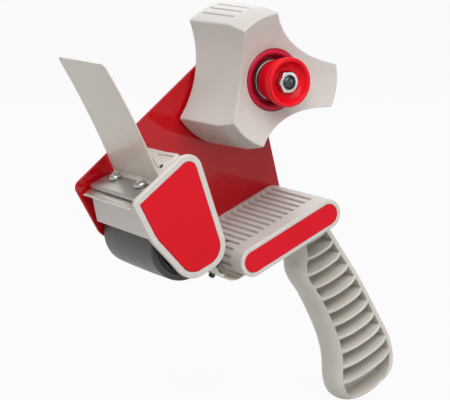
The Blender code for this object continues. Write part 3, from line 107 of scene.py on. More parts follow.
def finish(name, colour, shade, rough, grain, depth, mottle=20.0, stretch=(1, 1, 1), **fixed):
    """A Principled surface: colour mottled towards shade, roughness between two values, and a fine bump.

    grain and mottle are the sizes in mm of the bump's and the mottling's patches, and depth is the bump's
    height in mm. stretch lengthens the pattern along the tool's own axes, and fixed holds plain socket
    values."""
    made = bpy.data.materials.new(name)
    made.use_nodes = True
    tree = made.node_tree
    shader = tree.nodes["Principled BSDF"]
    for socket, value in fixed.items():
        shader.inputs[socket.replace("_", " ")].default_value = value
    place = node(tree, "ShaderNodeTexCoord").outputs["Object"]
    rotation = (0, HOLD_TILT, 0)
    scale = tuple(1 / s for s in stretch)
    place = node(tree, "ShaderNodeMapping", {"Vector": place, "Rotation": rotation}).outputs["Vector"]
    place = node(tree, "ShaderNodeMapping", {"Vector": place, "Scale": scale}).outputs["Vector"]
    coarse = node(tree, "ShaderNodeTexNoise", {"Vector": place, "Scale": 1 / (mottle * MM), "Detail": 3.0})
    fine = node(tree, "ShaderNodeTexNoise", {"Vector": place, "Scale": 1 / (grain * MM), "Detail": 2.0})
    colours = node(tree, "ShaderNodeValToRGB", {"Fac": coarse.outputs["Fac"]})
    colours.color_ramp.elements[0].color = linear(shade)
    colours.color_ramp.elements[1].color = linear(colour)
    colours.color_ramp.elements[0].position = 0.3
    colours.color_ramp.elements[1].position = 0.62
    tree.links.new(colours.outputs["Color"], shader.inputs["Base Color"])
    level = {"Value": coarse.outputs["Fac"], "From Min": 0.3, "From Max": 0.7,
             "To Min": rough[0], "To Max": rough[1]}
    tree.links.new(node(tree, "ShaderNodeMapRange", level).outputs["Result"], shader.inputs["Roughness"])
    relief = {"Height": fine.outputs["Fac"], "Distance": depth * MM, "Strength": 1.0}
    tree.links.new(node(tree, "ShaderNodeBump", relief).outputs["Normal"], shader.inputs["Normal"])
    return made


# Light grey ABS, injection moulded in a lightly sparked tool: satin, with a fine grain that blurs its
# highlights.
GREY_ABS = finish("grey_abs_moulded", "#cdc7c2", "#c7c1bb", (0.42, 0.5), 0.5, 0.02, mottle=35)
# The same ABS on the handle, polished a little by hands.
GRIP_ABS = finish("grey_abs_handled", "#cfcac2", "#c7c2b9", (0.36, 0.48), 0.6, 0.02, mottle=25)
# Baked gloss enamel on sheet steel: a mirror-like skin with the slow ripple called orange peel, 2 to 3 mm
# across.
RED_ENAMEL = finish("red_baked_enamel", "#bc0815", "#ac0714", (0.03, 0.06), 2.6, 0.004, mottle=60, IOR=1.5,
                    Specular_IOR_Level=0.34)
# Red polystyrene inserts, matt from the tool: flat and even, with a broad weak highlight.
RED_INSERT = finish("red_polystyrene_insert", "#d51325", "#cd1020", (0.42, 0.5), 0.7, 0.012, mottle=40,
                    Specular_IOR_Level=0.14)
# Bright red polypropylene knob: smooth, a little waxy, with a soft highlight.
RED_KNOB = finish("red_polypropylene", "#e2041c", "#d80319", (0.26, 0.34), 1.2, 0.008, mottle=15,
                  Specular_IOR_Level=0.22)
# The cup is the same plastic in a deeper red.
RED_CUP = finish("deep_red_polypropylene", "#bc0a34", "#aa082c", (0.28, 0.36), 1.2, 0.008, mottle=15,
                 Specular_IOR_Level=0.25)
# Zinc-plated pressings, barrel finished: bright but blurred, so that they look silver all over.
SATIN_ZINC = finish("satin_zinc_pressing", "#dcdad7", "#d0cecb", (0.32, 0.4), 0.6, 0.004, mottle=12,
                    Metallic=1.0)
# Zinc-plated steel screws, nuts and washers: bright, with a thin haze.
ZINC = finish("zinc_plated_steel", "#c9c9c6", "#b8b8b5", (0.2, 0.3), 0.8, 0.004, mottle=6, Metallic=1.0)
# The hub bolt's steel is coloured dark, so that its end shows as a dark, glossy dome.
DARK_STEEL = finish("dark_bolt_steel", "#565c60", "#3f4448", (0.16, 0.24), 0.8, 0.004, mottle=3,
                    Metallic=1.0)
# Cold-rolled strip steel: fine rolling lines along the strip's width, 0.25 mm apart, drawn coarser than real.
STRIP_STEEL = finish("rolled_strip_steel", "#bbb8b3", "#afaca7", (0.34, 0.44), 0.25, 0.006, mottle=3,
                     stretch=(1, 30, 1), Metallic=1.0)
# Hardened blade steel, ground bright at its teeth.
BLADE_STEEL = finish("ground_blade_steel", "#dedad3", "#d0ccc5", (0.34, 0.44), 0.25, 0.006, mottle=2,
                     stretch=(12, 1, 1), Metallic=1.0)
# Black nitrile rubber, ground on a lathe: near black, with a sheen and fine grinding rings 0.3 mm apart.
RUBBER = finish("ground_nitrile_rubber", "#35322e", "#2c2926", (0.36, 0.46), 0.3, 0.012, mottle=8,
                stretch=(8, 1, 8), IOR=1.52, Sheen_Weight=0.15, Sheen_Roughness=0.4)
# Black nylon of the roller's core and the coated wire.
BLACK_NYLON = finish("black_nylon", "#211f1e", "#191817", (0.38, 0.5), 0.6, 0.01, mottle=10)
# Milky polyester film: translucent, with a soft gloss and faint drawing lines up its length.
FILM = finish("milky_polyester_film", "#e0d8cd", "#d8cfc4", (0.2, 0.3), 1.5, 0.004, mottle=30,
              stretch=(1, 1, 6), Alpha=0.86, IOR=1.57)
# Clear film tongue of the tape retainer, thinner and paler.
TONGUE_FILM = finish("pale_polyester_film", "#efe6d8", "#e6dccd", (0.2, 0.3), 1.5, 0.004, mottle=20,
                     Alpha=0.72, IOR=1.57)
# Red-brown vulcanised fibre: matt, with a paper grain.
FIBRE = finish("vulcanised_fibre", "#7c3b2c", "#6a2f23", (0.7, 0.85), 0.4, 0.03, mottle=3)
# Painted shade: a dark colour that stands for the shadow inside a small hole in grey ABS.
PAINTED_HOLE_SHADE = finish("painted_hole_shade", "#3c3834", "#33302c", (0.7, 0.8), 0.5, 0.02, mottle=5)


# ---- surfaces


def unit(vectors):
    length = np.linalg.norm(vectors, axis=-1, keepdims=True)
    return vectors / np.where(length > 1e-9, length, 1)


def outline(corners, inset=0.0, steps=8):
    """A closed outline through (x, y, radius) corners, drawn in by inset: each corner is an arc that touches
    its two edges, of the corner's radius less the inset, or plus it where the outline bends inwards."""
    data = np.array(corners, float)
    points, radii = data[:, :2], data[:, 2]
    run_in = unit(points - np.roll(points, 1, 0))
    run_out = np.roll(run_in, -1, 0)
    area = np.sum(np.roll(points, 1, 0)[:, 0] * points[:, 1] - points[:, 0] * np.roll(points, 1, 0)[:, 1])
    side = math.copysign(1, area)
    normal_in = side * np.stack([-run_in[:, 1], run_in[:, 0]], -1)
    normal_out = side * np.stack([-run_out[:, 1], run_out[:, 0]], -1)
    spread = 1 + np.sum(normal_in * normal_out, -1, keepdims=True)
    points = points + (normal_in + normal_out) * inset / spread
    cross = run_in[:, 0] * run_out[:, 1] - run_in[:, 1] * run_out[:, 0]
    turn = np.arctan2(cross, np.sum(run_in * run_out, -1))
    radii = np.maximum(radii - inset * np.sign(turn) * side, 0.01)
    start = points - run_in * (radii * np.tan(np.abs(turn) / 2))[:, None]
    inward = np.sign(turn)[:, None] * np.stack([-run_in[:, 1], run_in[:, 0]], -1)
    centre = start + inward * radii[:, None]
    first = np.arctan2(-inward[:, 1], -inward[:, 0])
    angle = first[:, None] + turn[:, None] * np.linspace(0, 1, steps + 1)
    arc = np.stack([np.cos(angle), np.sin(angle)], -1) * radii[:, None, None] + centre[:, None, :]
    return arc.reshape(-1, 2)


def at(points, height):
    """Give flat points a height."""
    return np.column_stack([points, np.broadcast_to(height, len(points))])


def softened(keys, soft, looped=False, steps=SOFT_STEPS):
    """Rows through key rows. A key with a softness e becomes the quadratic curve from e before it to e after
    it, with the key as its middle control point, so that its corner is rounded."""
    keys = np.array(keys, float)
    rows = []
    t = np.linspace(0, 1, steps + 1)[:, None, None]
    for i, reach in enumerate(soft):
        here = keys[i]
        if reach == 0 or (not looped and i in (0, len(keys) - 1)):
            rows.append(here[None])
            continue
        back, on = keys[i - 1] - here, keys[(i + 1) % len(keys)] - here
        most = [np.minimum(reach, 0.48 * np.linalg.norm(v, axis=-1, keepdims=True)) for v in (back, on)]
        start, end = here + unit(back) * most[0], here + unit(on) * most[1]
        rows.append((1 - t) ** 2 * start + 2 * t * (1 - t) * here + t ** 2 * end)
    return np.concatenate(rows)


def skin(rows, looped=False):
    """Points and faces of a grid of closed rows: a quad between neighbours, and a flat face over the first
    and the last row unless the rows run in a loop."""
    count, width = rows.shape[:2]
    down = np.arange(count if looped else count - 1)
    i, j = np.meshgrid(down, np.arange(width), indexing="ij")
    i2, j2 = (i + 1) % count, (j + 1) % width
    quads = np.stack([i * width + j, i * width + j2, i2 * width + j2, i2 * width + j], -1)
    faces = quads.reshape(-1, 4).tolist()
    if not looped:
        faces += [list(range(width))[::-1], list(range((count - 1) * width, count * width))]
    return rows.reshape(-1, 3), faces


def piece(name, shells, material, body, replaces=(), sharp=SHARP_ANGLE):
    """One object of closed shells: merged, turned outwards, smooth but for its sharp edges, and put on its
    body."""
    points, faces, start = [], [], 0
    for shell_points, shell_faces in shells:
        points.append(shell_points)
        faces += [[start + i for i in face] for face in shell_faces]
        start += len(shell_points)
    mesh = bpy.data.meshes.new(name)
    mesh.from_pydata(to_world(np.concatenate(points)).tolist(), [], faces)
    bm = bmesh.new()
    bm.from_mesh(mesh)
    bmesh.ops.remove_doubles(bm, verts=bm.verts, dist=0.002 * MM)
    bmesh.ops.dissolve_degenerate(bm, dist=0.001 * MM, edges=bm.edges)
    bmesh.ops.recalc_face_normals(bm, faces=bm.faces)
    bm.to_mesh(mesh)
    bm.free()
    mesh.shade_smooth()
    mesh.set_sharp_from_angle(angle=sharp)
    mesh.materials.append(material)
    obj = bpy.data.objects.new(name, mesh)
    bpy.context.scene.collection.objects.link(obj)
    even = obj.modifiers.new("even_shading", "WEIGHTED_NORMAL")
    even.keep_sharp = True
    even.weight = 90
    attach(obj, body)
    if replaces:
        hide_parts(*replaces)
    return obj


def rims(corners, levels, steps=8):
    """Key rows of a flat piece: its outline drawn in by each level's inset, at that level's height."""
    return [at(outline(corners, inset, steps), z) for inset, z in levels]


def slab(corners, low, high, edge=0.4, steps=8):
    """A flat piece between two heights whose outline's edges are rounded."""
    levels = ((2 * edge, low), (0, low), (0, high), (2 * edge, high))
    return skin(softened(rims(corners, levels, steps), (0, edge, edge, 0)))


def block(low, high, edge=0.3):
    """A box with rounded edges."""
    (x0, y0, z0), (x1, y1, z1) = low, high
    r = edge
    return slab([(x0, y0, r), (x1, y0, r), (x1, y1, r), (x0, y1, r)], z0, z1, edge, 3)


def turned(profile, soft, steps=72, looped=False, limit=None):
    """Rows turned about z: each key (radius, height) is a circle, or the outline that its radius gives at
    each angle, kept inside a limit of the same kind, and the corners between keys are softened."""
    angle = np.linspace(0, math.tau, steps, endpoint=False)
    keys = []
    for radius, height in profile:
        r = radius(angle) if callable(radius) else np.full(steps, float(radius))
        r = r if limit is None else np.minimum(r, limit(angle))
        keys.append(np.stack([r * np.cos(angle), r * np.sin(angle), np.full(steps, float(height))], -1))
    return softened(keys, soft, looped)


def placed(rows, origin=(0, 0, 0), up=(0, 0, 1)):
    """Stand rows made about z on an origin, with their z along up."""
    w = unit(np.array(up, float))
    u = unit(np.cross((0.0, 0.0, 1.0), w)) if abs(w[2]) < 0.99 else np.array((1.0, 0.0, 0.0))
    v = np.cross(w, u)
    return rows @ np.stack([u, v, w]) + np.array(origin, float)


def lathe(profile, soft, steps=72, looped=False, limit=None, origin=(0, 0, 0), up=(0, 0, 1)):
    """A closed shell turned about the line through an origin along up."""
    return skin(placed(turned(profile, soft, steps, looped, limit), origin, up), looped)


def hexagon(flats, turn=0.0):
    """The radius of a hexagon across its flats at an angle, with a corner at the angle of its turn."""
    return lambda angle: flats / 2 / np.cos(np.mod(angle - turn, math.pi / 3) - math.pi / 6)


def nut(flats, height, bore, base, chamfer=0.9, turn=0.0):
    """A hexagon nut: a turned ring kept inside a hexagon, so that its end cones cut the flats in curves."""
    half = flats / 2
    radii = half + np.linspace(0, 1, 5) * (half * 0.17)
    drop = (radii - half) * 0.55
    top = base + height
    keys = [(bore, base + chamfer / 2), (bore + chamfer / 2, base)]
    cone = list(zip(radii, drop))
    keys += [(r, base + d) for r, d in cone] + [(r, top - d) for r, d in cone[::-1]]
    keys += [(bore + chamfer / 2, top), (bore, top - chamfer / 2)]
    return lathe(keys, [0] * len(keys), 96, True, hexagon(flats, turn))


def ring(inner, outer, low, high, edge=0.15):
    """A washer or sleeve with softened edges."""
    return lathe([(inner, high), (outer, high), (outer, low), (inner, low)], [edge] * 4, 72, True)


def pan_head(radius=3.3, height=2.2, shank=1.7, length=7.0):
    """A pan-head screw, seat at z = 0. Its top is a shallow dome less a cross: a point is sunk where it lies
    within a slot's half width of either axis and within the cross's reach of the middle."""
    angle = np.linspace(0, math.tau, 64, endpoint=False)
    r = np.concatenate([np.linspace(0.05, 0.62, 22), np.linspace(0.68, 0.98, 6)])[:, None] * radius
    x, y = r * np.cos(angle), r * np.sin(angle)
    dome = height * (1 - 0.22 * (r / radius) ** 2 - 0.38 * (r / radius) ** 8)
    slot, reach, ease = 0.13 * radius, 0.52 * radius, 0.07 * radius
    arms = [np.clip((slot - abs(a)) / ease + 0.5, 0, 1) * np.clip((reach - abs(b)) / ease, 0, 1)
            for a, b in ((x, y), (y, x))]
    z = dome - 0.5 * height * np.maximum(*arms)
    top = np.stack([x, y, z], -1)
    rest = turned([(radius, height * 0.32), (radius, 0), (shank, 0), (shank, 0.7 - length), (0.3, -length)],
                  [0, 0.1, 0.1, 0.2, 0], 64)
    return np.concatenate([top, rest])


def tube(path, radii, across):
    """A round bar along a path: at each point a circle whose two directions are the cross product of the run
    with across, and the cross product of that with the run."""
    path = np.asarray(path, float)
    run = unit(np.gradient(path, axis=0))
    side = unit(np.cross(run, across))
    lift = np.cross(side, run)
    angle = np.linspace(0, math.tau, 20, endpoint=False)[None, :, None]
    radii = np.broadcast_to(radii, len(path))[:, None, None]
    return skin(path[:, None] + radii * (np.cos(angle) * side[:, None] + np.sin(angle) * lift[:, None]))


def strip(path, half_widths, thickness, middle=0.0):
    """Film or sheet along a path in the side view: at each point a flat section across z with round long
    edges, offset along the path's normal by half the thickness each way."""
    path = np.asarray(path, float)
    run = unit(np.gradient(path, axis=0))
    normal = np.stack([-run[:, 1], run[:, 0]], -1)
    angle = np.linspace(-math.pi / 2, math.pi / 2, 5)
    half = np.broadcast_to(half_widths, len(path))[:, None]
    lean = thickness / 2 * np.cos(angle)
    out = np.concatenate([half - thickness / 2 + lean, thickness / 2 - half - lean], 1)
    rise = np.concatenate([np.sin(angle), -np.sin(angle)]) * thickness / 2
    flat = path[:, None] + normal[:, None] * rise[None, :, None]
    return skin(np.concatenate([flat, (out + middle)[..., None]], -1))


# ---- hub

HUB_HALF = 24.0
TIP_RADIUS = 37.8
VALLEY_RADIUS = 21.8
LOBE_HALF = 12.0
HUB_DRAFT = 1.0
LEAD_IN = 12.0
LEAD_DEPTH = 2.8
HUB_WALL = 2.4
SEAT_RADIUS = 15.7
SEAT_FLOOR = 8.0
BOSS_RADIUS = 9.0
BOSS_END = -19.1
BORE = 3.3
TIP_SAMPLES = 164
VALLEY_SAMPLES = 348
LOBE_SAMPLES = TIP_SAMPLES + VALLEY_SAMPLES
CORNER_WINDOW = 21
LOBE_TURNS = math.pi / 2 + np.arange(3) * math.tau / 3


def lobes(inset, slope=0.0):
    """The hub's outline: three tip arcs about the axis, joined by the arcs that pass through the valleys. It
    is drawn in by an inset, and its tips by a slope more, which may both differ at each point. A sliding mean
    over 3 mm rounds its six corners."""
    inset, slope = [np.broadcast_to(v, 3 * LOBE_SAMPLES).reshape(3, -1) for v in (inset, slope)]
    outer, half = TIP_RADIUS - inset - slope, LOBE_HALF - inset
    spread = np.arcsin(half / outer)
    share = np.linspace(-1, 1, TIP_SAMPLES)
    turns = LOBE_TURNS[:, None] + spread[:, :TIP_SAMPLES] * share
    tips = outer[:, :TIP_SAMPLES] * np.exp(1j * turns)
    outer, spread, inset = outer[:, TIP_SAMPLES:], spread[:, TIP_SAMPLES:], inset[:, TIP_SAMPLES:]
    deep = VALLEY_RADIUS - inset
    reach = math.pi / 3 - spread
    half_chord, foot = outer * np.sin(reach), outer * np.cos(reach)
    rise = foot - deep
    radius = (half_chord ** 2 + rise ** 2) / (2 * rise)
    swing = np.arctan2(half_chord, radius - rise)
    sweep = np.linspace(-1, 1, VALLEY_SAMPLES + 2)[1:-1] * swing
    arcs = (deep + radius) - radius * np.exp(-1j * sweep)
    valleys = arcs * np.exp(1j * (LOBE_TURNS[:, None] + math.pi / 3))
    whole = np.concatenate([tips, valleys], 1).ravel()
    window = np.hanning(CORNER_WINDOW + 2)[1:-1]
    window /= window.sum()
    padded = np.concatenate([whole[-CORNER_WINDOW:], whole, whole[:CORNER_WINDOW]])
    return np.convolve(padded, window, "same")[CORNER_WINDOW:-CORNER_WINDOW]


def dish(radius):
    """The near face's height: a bowl that rises with the square of the radius to the lobes' tips."""
    return HUB_HALF - 10.0 * (1 - (radius / (TIP_RADIUS - HUB_DRAFT - LEAD_DEPTH)) ** 2)


def wall_at(z, extra=0.0):
    """The wall's outline at a height, drawn in by extra: an even draft, and the lead-in's slope at the
    tips."""
    draft = HUB_DRAFT * np.clip((z + HUB_HALF) / (2 * HUB_HALF - LEAD_IN), 0, 1)
    return lobes(draft + extra, LEAD_DEPTH * np.clip((z - HUB_HALF + LEAD_IN) / LEAD_IN, 0, 1))


def meeting(extra, drop):
    """Where the wall, drawn in by extra, meets the dish less a drop: repeated until both agree."""
    z = np.full(3 * LOBE_SAMPLES, 18.0)
    for _ in range(14):
        edge = wall_at(z, extra)
        z = dish(np.abs(edge)) - drop
    return edge, z


def hub_shells():
    """The hub as one closed surface: rows run from its bore over the dished face, down the grooved wall, and
    back up its hollow inside to the bore. Three ribs stand in the hollow."""
    index = np.arange(3 * LOBE_SAMPLES)
    local = index % LOBE_SAMPLES
    keep = (local < TIP_SAMPLES) | (local % 6 == 0)
    lobe = LOBE_TURNS[index // LOBE_SAMPLES]
    edge, edge_z = meeting(0, 0)
    hollow, hollow_z = meeting(HUB_WALL, HUB_WALL)
    turn = np.angle(edge)

    def circle(radius, z):
        return np.stack([radius * np.cos(turn), radius * np.sin(turn), np.full(len(turn), float(z))], -1)

    def row(outline_points, z):
        return np.stack([outline_points.real, outline_points.imag, np.broadcast_to(z, len(turn))], -1)

    def face(share):
        points = edge * share + SEAT_RADIUS * np.exp(1j * turn) * (1 - share)
        return row(points, dish(np.abs(points)))

    def wall(z, cut):
        """The wall at a height, with three grooves in each lobe's end, cut by a share of their depth."""
        points = wall_at(np.full(len(turn), z))
        offset = (points * np.exp(-1j * lobe)).imag
        groove = sum(np.clip((0.6 - np.abs(offset - middle)) / 0.25, 0, 1) for middle in (-5.0, 0.0, 5.0))
        groove = np.where(local < TIP_SAMPLES, groove, 0) * 0.8 * cut
        return row(points - groove * np.exp(1j * lobe), z)

    seat_wall = SEAT_RADIUS + HUB_WALL
    inner = np.maximum(np.abs(hollow), seat_wall + 0.1) * np.exp(1j * np.angle(hollow))
    keys = [
        (circle(BORE, SEAT_FLOOR), 0.3), (circle(SEAT_RADIUS, SEAT_FLOOR), 0.4),
        (circle(SEAT_RADIUS, dish(SEAT_RADIUS)), 0.5),
        (face(0.3), 0), (face(0.6), 0), (face(0.85), 0), (row(edge, edge_z), 1.7),
        (wall(12.0, 0), 2.0), (wall(9.3, 0), 0), (wall(8.8, 1), 0), (wall(-20.5, 1), 0), (wall(-21.2, 0), 0),
        (wall(-24.0, 0), 0.5), (row(lobes(HUB_WALL), -24.0), 0.4),
        (row(inner, hollow_z), 0.7), (circle(seat_wall, dish(seat_wall) - HUB_WALL), 0.3),
        (circle(seat_wall, SEAT_FLOOR - HUB_WALL), 0.5), (circle(BOSS_RADIUS, SEAT_FLOOR - HUB_WALL), 0.5),
        (circle(BOSS_RADIUS, BOSS_END), 0.4), (circle(BORE, BOSS_END), 0.3),
    ]
    rows = softened([key for key, _ in keys], [soft for _, soft in keys], looped=True, steps=3)
    shells = [skin(rows[:, keep], looped=True)]
    under = dish(np.array([34.0, 27.0, seat_wall])) - HUB_WALL / 2
    rib = [
        (12, -24, 0.3), (35.6, -23.9, 0.3), (34.4, under[0], 0.3), (27, under[1], 4),
        (seat_wall - 1, under[2], 0.3), (seat_wall - 1, 6.6, 0.3), (8, 6.6, 0.3), (8, BOSS_END + 0.1, 0.3),
        (12, BOSS_END + 0.1, 0.3),
    ]
    points, faces = slab(rib, -1.0, 1.0, 0.25, 2)
    for angle in LOBE_TURNS:
        reach, height, side = points.T
        out = np.array([math.cos(angle), math.sin(angle)])
        across = np.array([-out[1], out[0]])
        flat = reach[:, None] * out + side[:, None] * across
        shells.append((at(flat, height), faces))
    return shells


piece("hub_shell", hub_shells(), GREY_ABS, "hub", ["core_hub"])

# ---- brake on the hub's bolt

CUP_RADIUS = 15.55
CUP_LIP = dish(CUP_RADIUS) + 0.6
KNOB_RIM = 31.0
KNOB_DISH = 26.7
KNOB_ROOF = 21.7
KNOB_BASE = 17.9
KNOB_HOLLOW = 8.9
NUT_FLATS = 10.0
NUT_HEIGHT = 5.0
NUT_BASE = 25.0
NUT_TURN = math.radians(37)
WASHER_RADIUS = 8.5

cup_profile = [
    (BORE, 9.8), (11.4, 9.8), (12.4, CUP_LIP - 1.2), (13.4, CUP_LIP), (14.7, CUP_LIP),
    (CUP_RADIUS, CUP_LIP - 0.7), (CUP_RADIUS, 8.3), (BORE, 8.3),
]
cup = lathe(cup_profile, [0.1, 0.8, 0.5, 0.4, 0.4, 0.4, 0.4, 0.1], 128, True)
piece("cup_ring", [cup], RED_CUP, "hub", ["brake_cup"])
# A cupped washer holds the spring's foot: its rim is turned up and shows as a bright ring inside the red cup.
washer_profile = [(BORE, 11.1), (8.6, 11.1), (8.8, 15.2), (10.0, 15.2), (9.7, 10.1), (BORE, 10.1)]
cup_washer = lathe(washer_profile, [0.1, 0.6, 0.3, 0.3, 0.6, 0.1], 128, True)
piece("cup_steel_washer", [cup_washer], SATIN_ZINC, "hub", ["cup_washer"])
piece("knob_steel_washer", [ring(BORE, WASHER_RADIUS, 20.4, 21.4)], SATIN_ZINC, "pressure",
      ["knob_washer"])

pocket = hexagon(NUT_FLATS + 0.3, NUT_TURN)
knob_profile = [
    (pocket, 24.7), (pocket, KNOB_DISH - 0.3), (6.6, KNOB_DISH), (8.3, 27.5), (9.9, 29.5), (10.5, KNOB_RIM),
    (12.5, KNOB_RIM), (12.3, 27.5), (11.2, 22.5), (10.3, KNOB_BASE), (KNOB_HOLLOW, KNOB_BASE),
    (KNOB_HOLLOW, KNOB_ROOF), (4.5, KNOB_ROOF), (4.5, 24.7),
]
knob_soft = [0, 0.1, 0.6, 1.3, 0.9, 1.0, 1.6, 1.5, 2.5, 0.5, 0.3, 0.3, 0.1, 0]
piece("knob_moulding", [lathe(knob_profile, knob_soft, 144, True)], RED_KNOB, "knob",
      ["brake_knob"])
piece("knob_hex_nut", [nut(NUT_FLATS, NUT_HEIGHT, 3.05, NUT_BASE, turn=NUT_TURN)], ZINC, "knob",
      ["knob_nut"])

# The lock nut's black collar closes the gap to the bolt, and with the bolt's end it reads as one dark dome.
collar = [(3.1, 29.4), (3.1, 30.35), (3.6, 30.3), (3.9, 29.95), (3.9, 29.4)]
piece("nut_lock_collar", [lathe(collar, [0, 0.1, 0.3, 0.2, 0], 96, True)], DARK_STEEL, "knob")


def bolt_shank():
    """The hub bolt: a plain shank from the plate, then thread rings of 1 mm pitch up to its dome."""
    crest = np.arange(22.0, 29.4, 1.0)
    thread = [(r, z + dz) for z in crest for r, dz in ((2.55, 0.0), (3.0, 0.4), (3.0, 0.55), (2.55, 0.95))]
    keys = [(0.2, 31.0), (2.0, 30.75), (2.95, 30.0), (2.95, 29.4)] + thread[::-1]
    keys += [(3.0, 21.5), (3.0, PLATE_OUT - SEAT_GAP)]
    return lathe(keys, [0, 0.9, 0.5, 0] + [0] * len(thread) + [0, 0], 64)


def bolt_head():
    """The bolt's hexagon head, chamfered where it faces out."""
    seat = PLATE_OUT - SEAT_GAP
    face = seat - 4.0
    half = NUT_FLATS / 2
    radii = half + np.linspace(0, 1, 5) * 0.85
    keys = [(0.3, seat), (5.9, seat)] + [(r, face + (r - half) * 0.55) for r in radii[::-1]]
    keys += [(half * 0.8, face), (0.3, face)]
    return lathe(keys, [0] * len(keys), 96, False, hexagon(NUT_FLATS))


piece("hub_bolt_steel", [bolt_shank()], DARK_STEEL, "frame", ["hub_bolt"])
piece("hub_bolt_head", [bolt_head()], ZINC, "frame")
piece("plate_lock_nut", [nut(NUT_FLATS, NUT_HEIGHT, BORE, PLATE_IN + SEAT_GAP)], ZINC, "frame",
      ["hub_lock_nut"])
piece("fibre_ring", [ring(BORE, WASHER_RADIUS, -20.4, -19.4)], FIBRE, "frame",
      ["friction_washer"])


def spring_path():
    """A helix of four turns, closed to the washers at both ends by a slower climb there."""
    turns = 4
    share = np.linspace(0, 1, turns * 28 + 1)
    climb = share - 0.1 * np.sin(math.tau * share) / math.tau * 2
    angle = math.tau * turns * share
    return np.stack([6 * np.cos(angle), 6 * np.sin(angle), 12.0 + 7.5 * climb], -1)


coil = tube(spring_path(), 0.6, (0.0, 0.0, 1.0))
spring = piece("brake_coil", [coil], ZINC, "hub", ["brake_spring"])
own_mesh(spring)

# ---- side plate

GUIDE_REAR = 5.8
GUIDE_FRONT = -59.0
GUIDE_TOP = -67.2
GUIDE_BOTTOM = -82.6
GUIDE_MID = -74.9
GUIDE_RADIUS = 7.7
ROLLER = np.array([-83.0, -47.5])
NOSE_FRONT = -101.5
NOSE_LENGTH = 42.0
NOSE_BOTTOM = -64.8
NOSE_HEIGHT = 61.2
CHEEK_TOP = 0.838
APEX_RADIUS = 16.0
GUIDE_SCREWS = [(GUIDE_REAR - 15.4, GUIDE_MID), (GUIDE_FRONT + 16.9, GUIDE_MID)]
NOSE_SCREWS = [(-94.7, -22.8), (-65.1, -22.8)]
GRIP_SCREW_BACKS = (31.0, 20.0)


def tangent_from(point, radius, side):
    """Direction of the line from a point that touches a circle about the hub's axis."""
    away = -point
    turn = math.atan2(away[1], away[0]) + side * math.asin(radius / np.linalg.norm(away))
    return np.array([math.cos(turn), math.sin(turn)])


def plate_corners():
    """The side plate: its two long edges touch one circle about the hub, which rounds its top."""
    nose = np.array([NOSE_FRONT - 2.5, NOSE_BOTTOM + CHEEK_TOP * NOSE_HEIGHT + 1.5])
    foot = np.array([GUIDE_REAR - 1.5, GUIDE_BOTTOM + 2.6])
    up_front, up_rear = tangent_from(nose, APEX_RADIUS, 1), tangent_from(foot, APEX_RADIUS, -1)
    gap = foot - nose
    across = up_front[0] * up_rear[1] - up_front[1] * up_rear[0]
    reach = (gap[0] * up_rear[1] - gap[1] * up_rear[0]) / across
    apex = nose + up_front * reach
    chin = NOSE_BOTTOM + 4.0
    return [
        (*nose, 4), (*apex, APEX_RADIUS), (*foot, 4), (GUIDE_FRONT + 4, foot[1], 4),
        (ROLLER[0] + 14, chin, 8), (ROLLER[0] - 7, chin, 8), (ROLLER[0] - 18, ROLLER[1] + 7, 8),
    ]


piece("plate_sheet", [slab(plate_corners(), PLATE_OUT, PLATE_IN, 0.4, 14)], RED_ENAMEL, "frame",
      ["side_frame"])

# ---- tape guide

GROOVE_PITCH = 3.97
GROOVE_HALF = 0.95
GROOVE_DEPTH = 1.2
END_GROOVES = np.radians([118, 148, 178])
GUIDE_NEAR = 26.5
GUIDE_FAR = PLATE_IN + SEAT_GAP
INSET_RIM = 2.2
INSET_FLOOR = 25.3
CAVITY_FRONT = GUIDE_FRONT + 11
CAVITY_REAR = GUIDE_REAR - 2.4
CAVITY_ROOF = GUIDE_TOP - 2.4
SLOT_BACK = GUIDE_FRONT + 8.5


def groove_share(offset):
    """1 on a groove's floor, 0 outside it, with walls that slope over 0.3 mm."""
    return np.clip((GROOVE_HALF - np.abs(offset)) / 0.3, 0, 1)


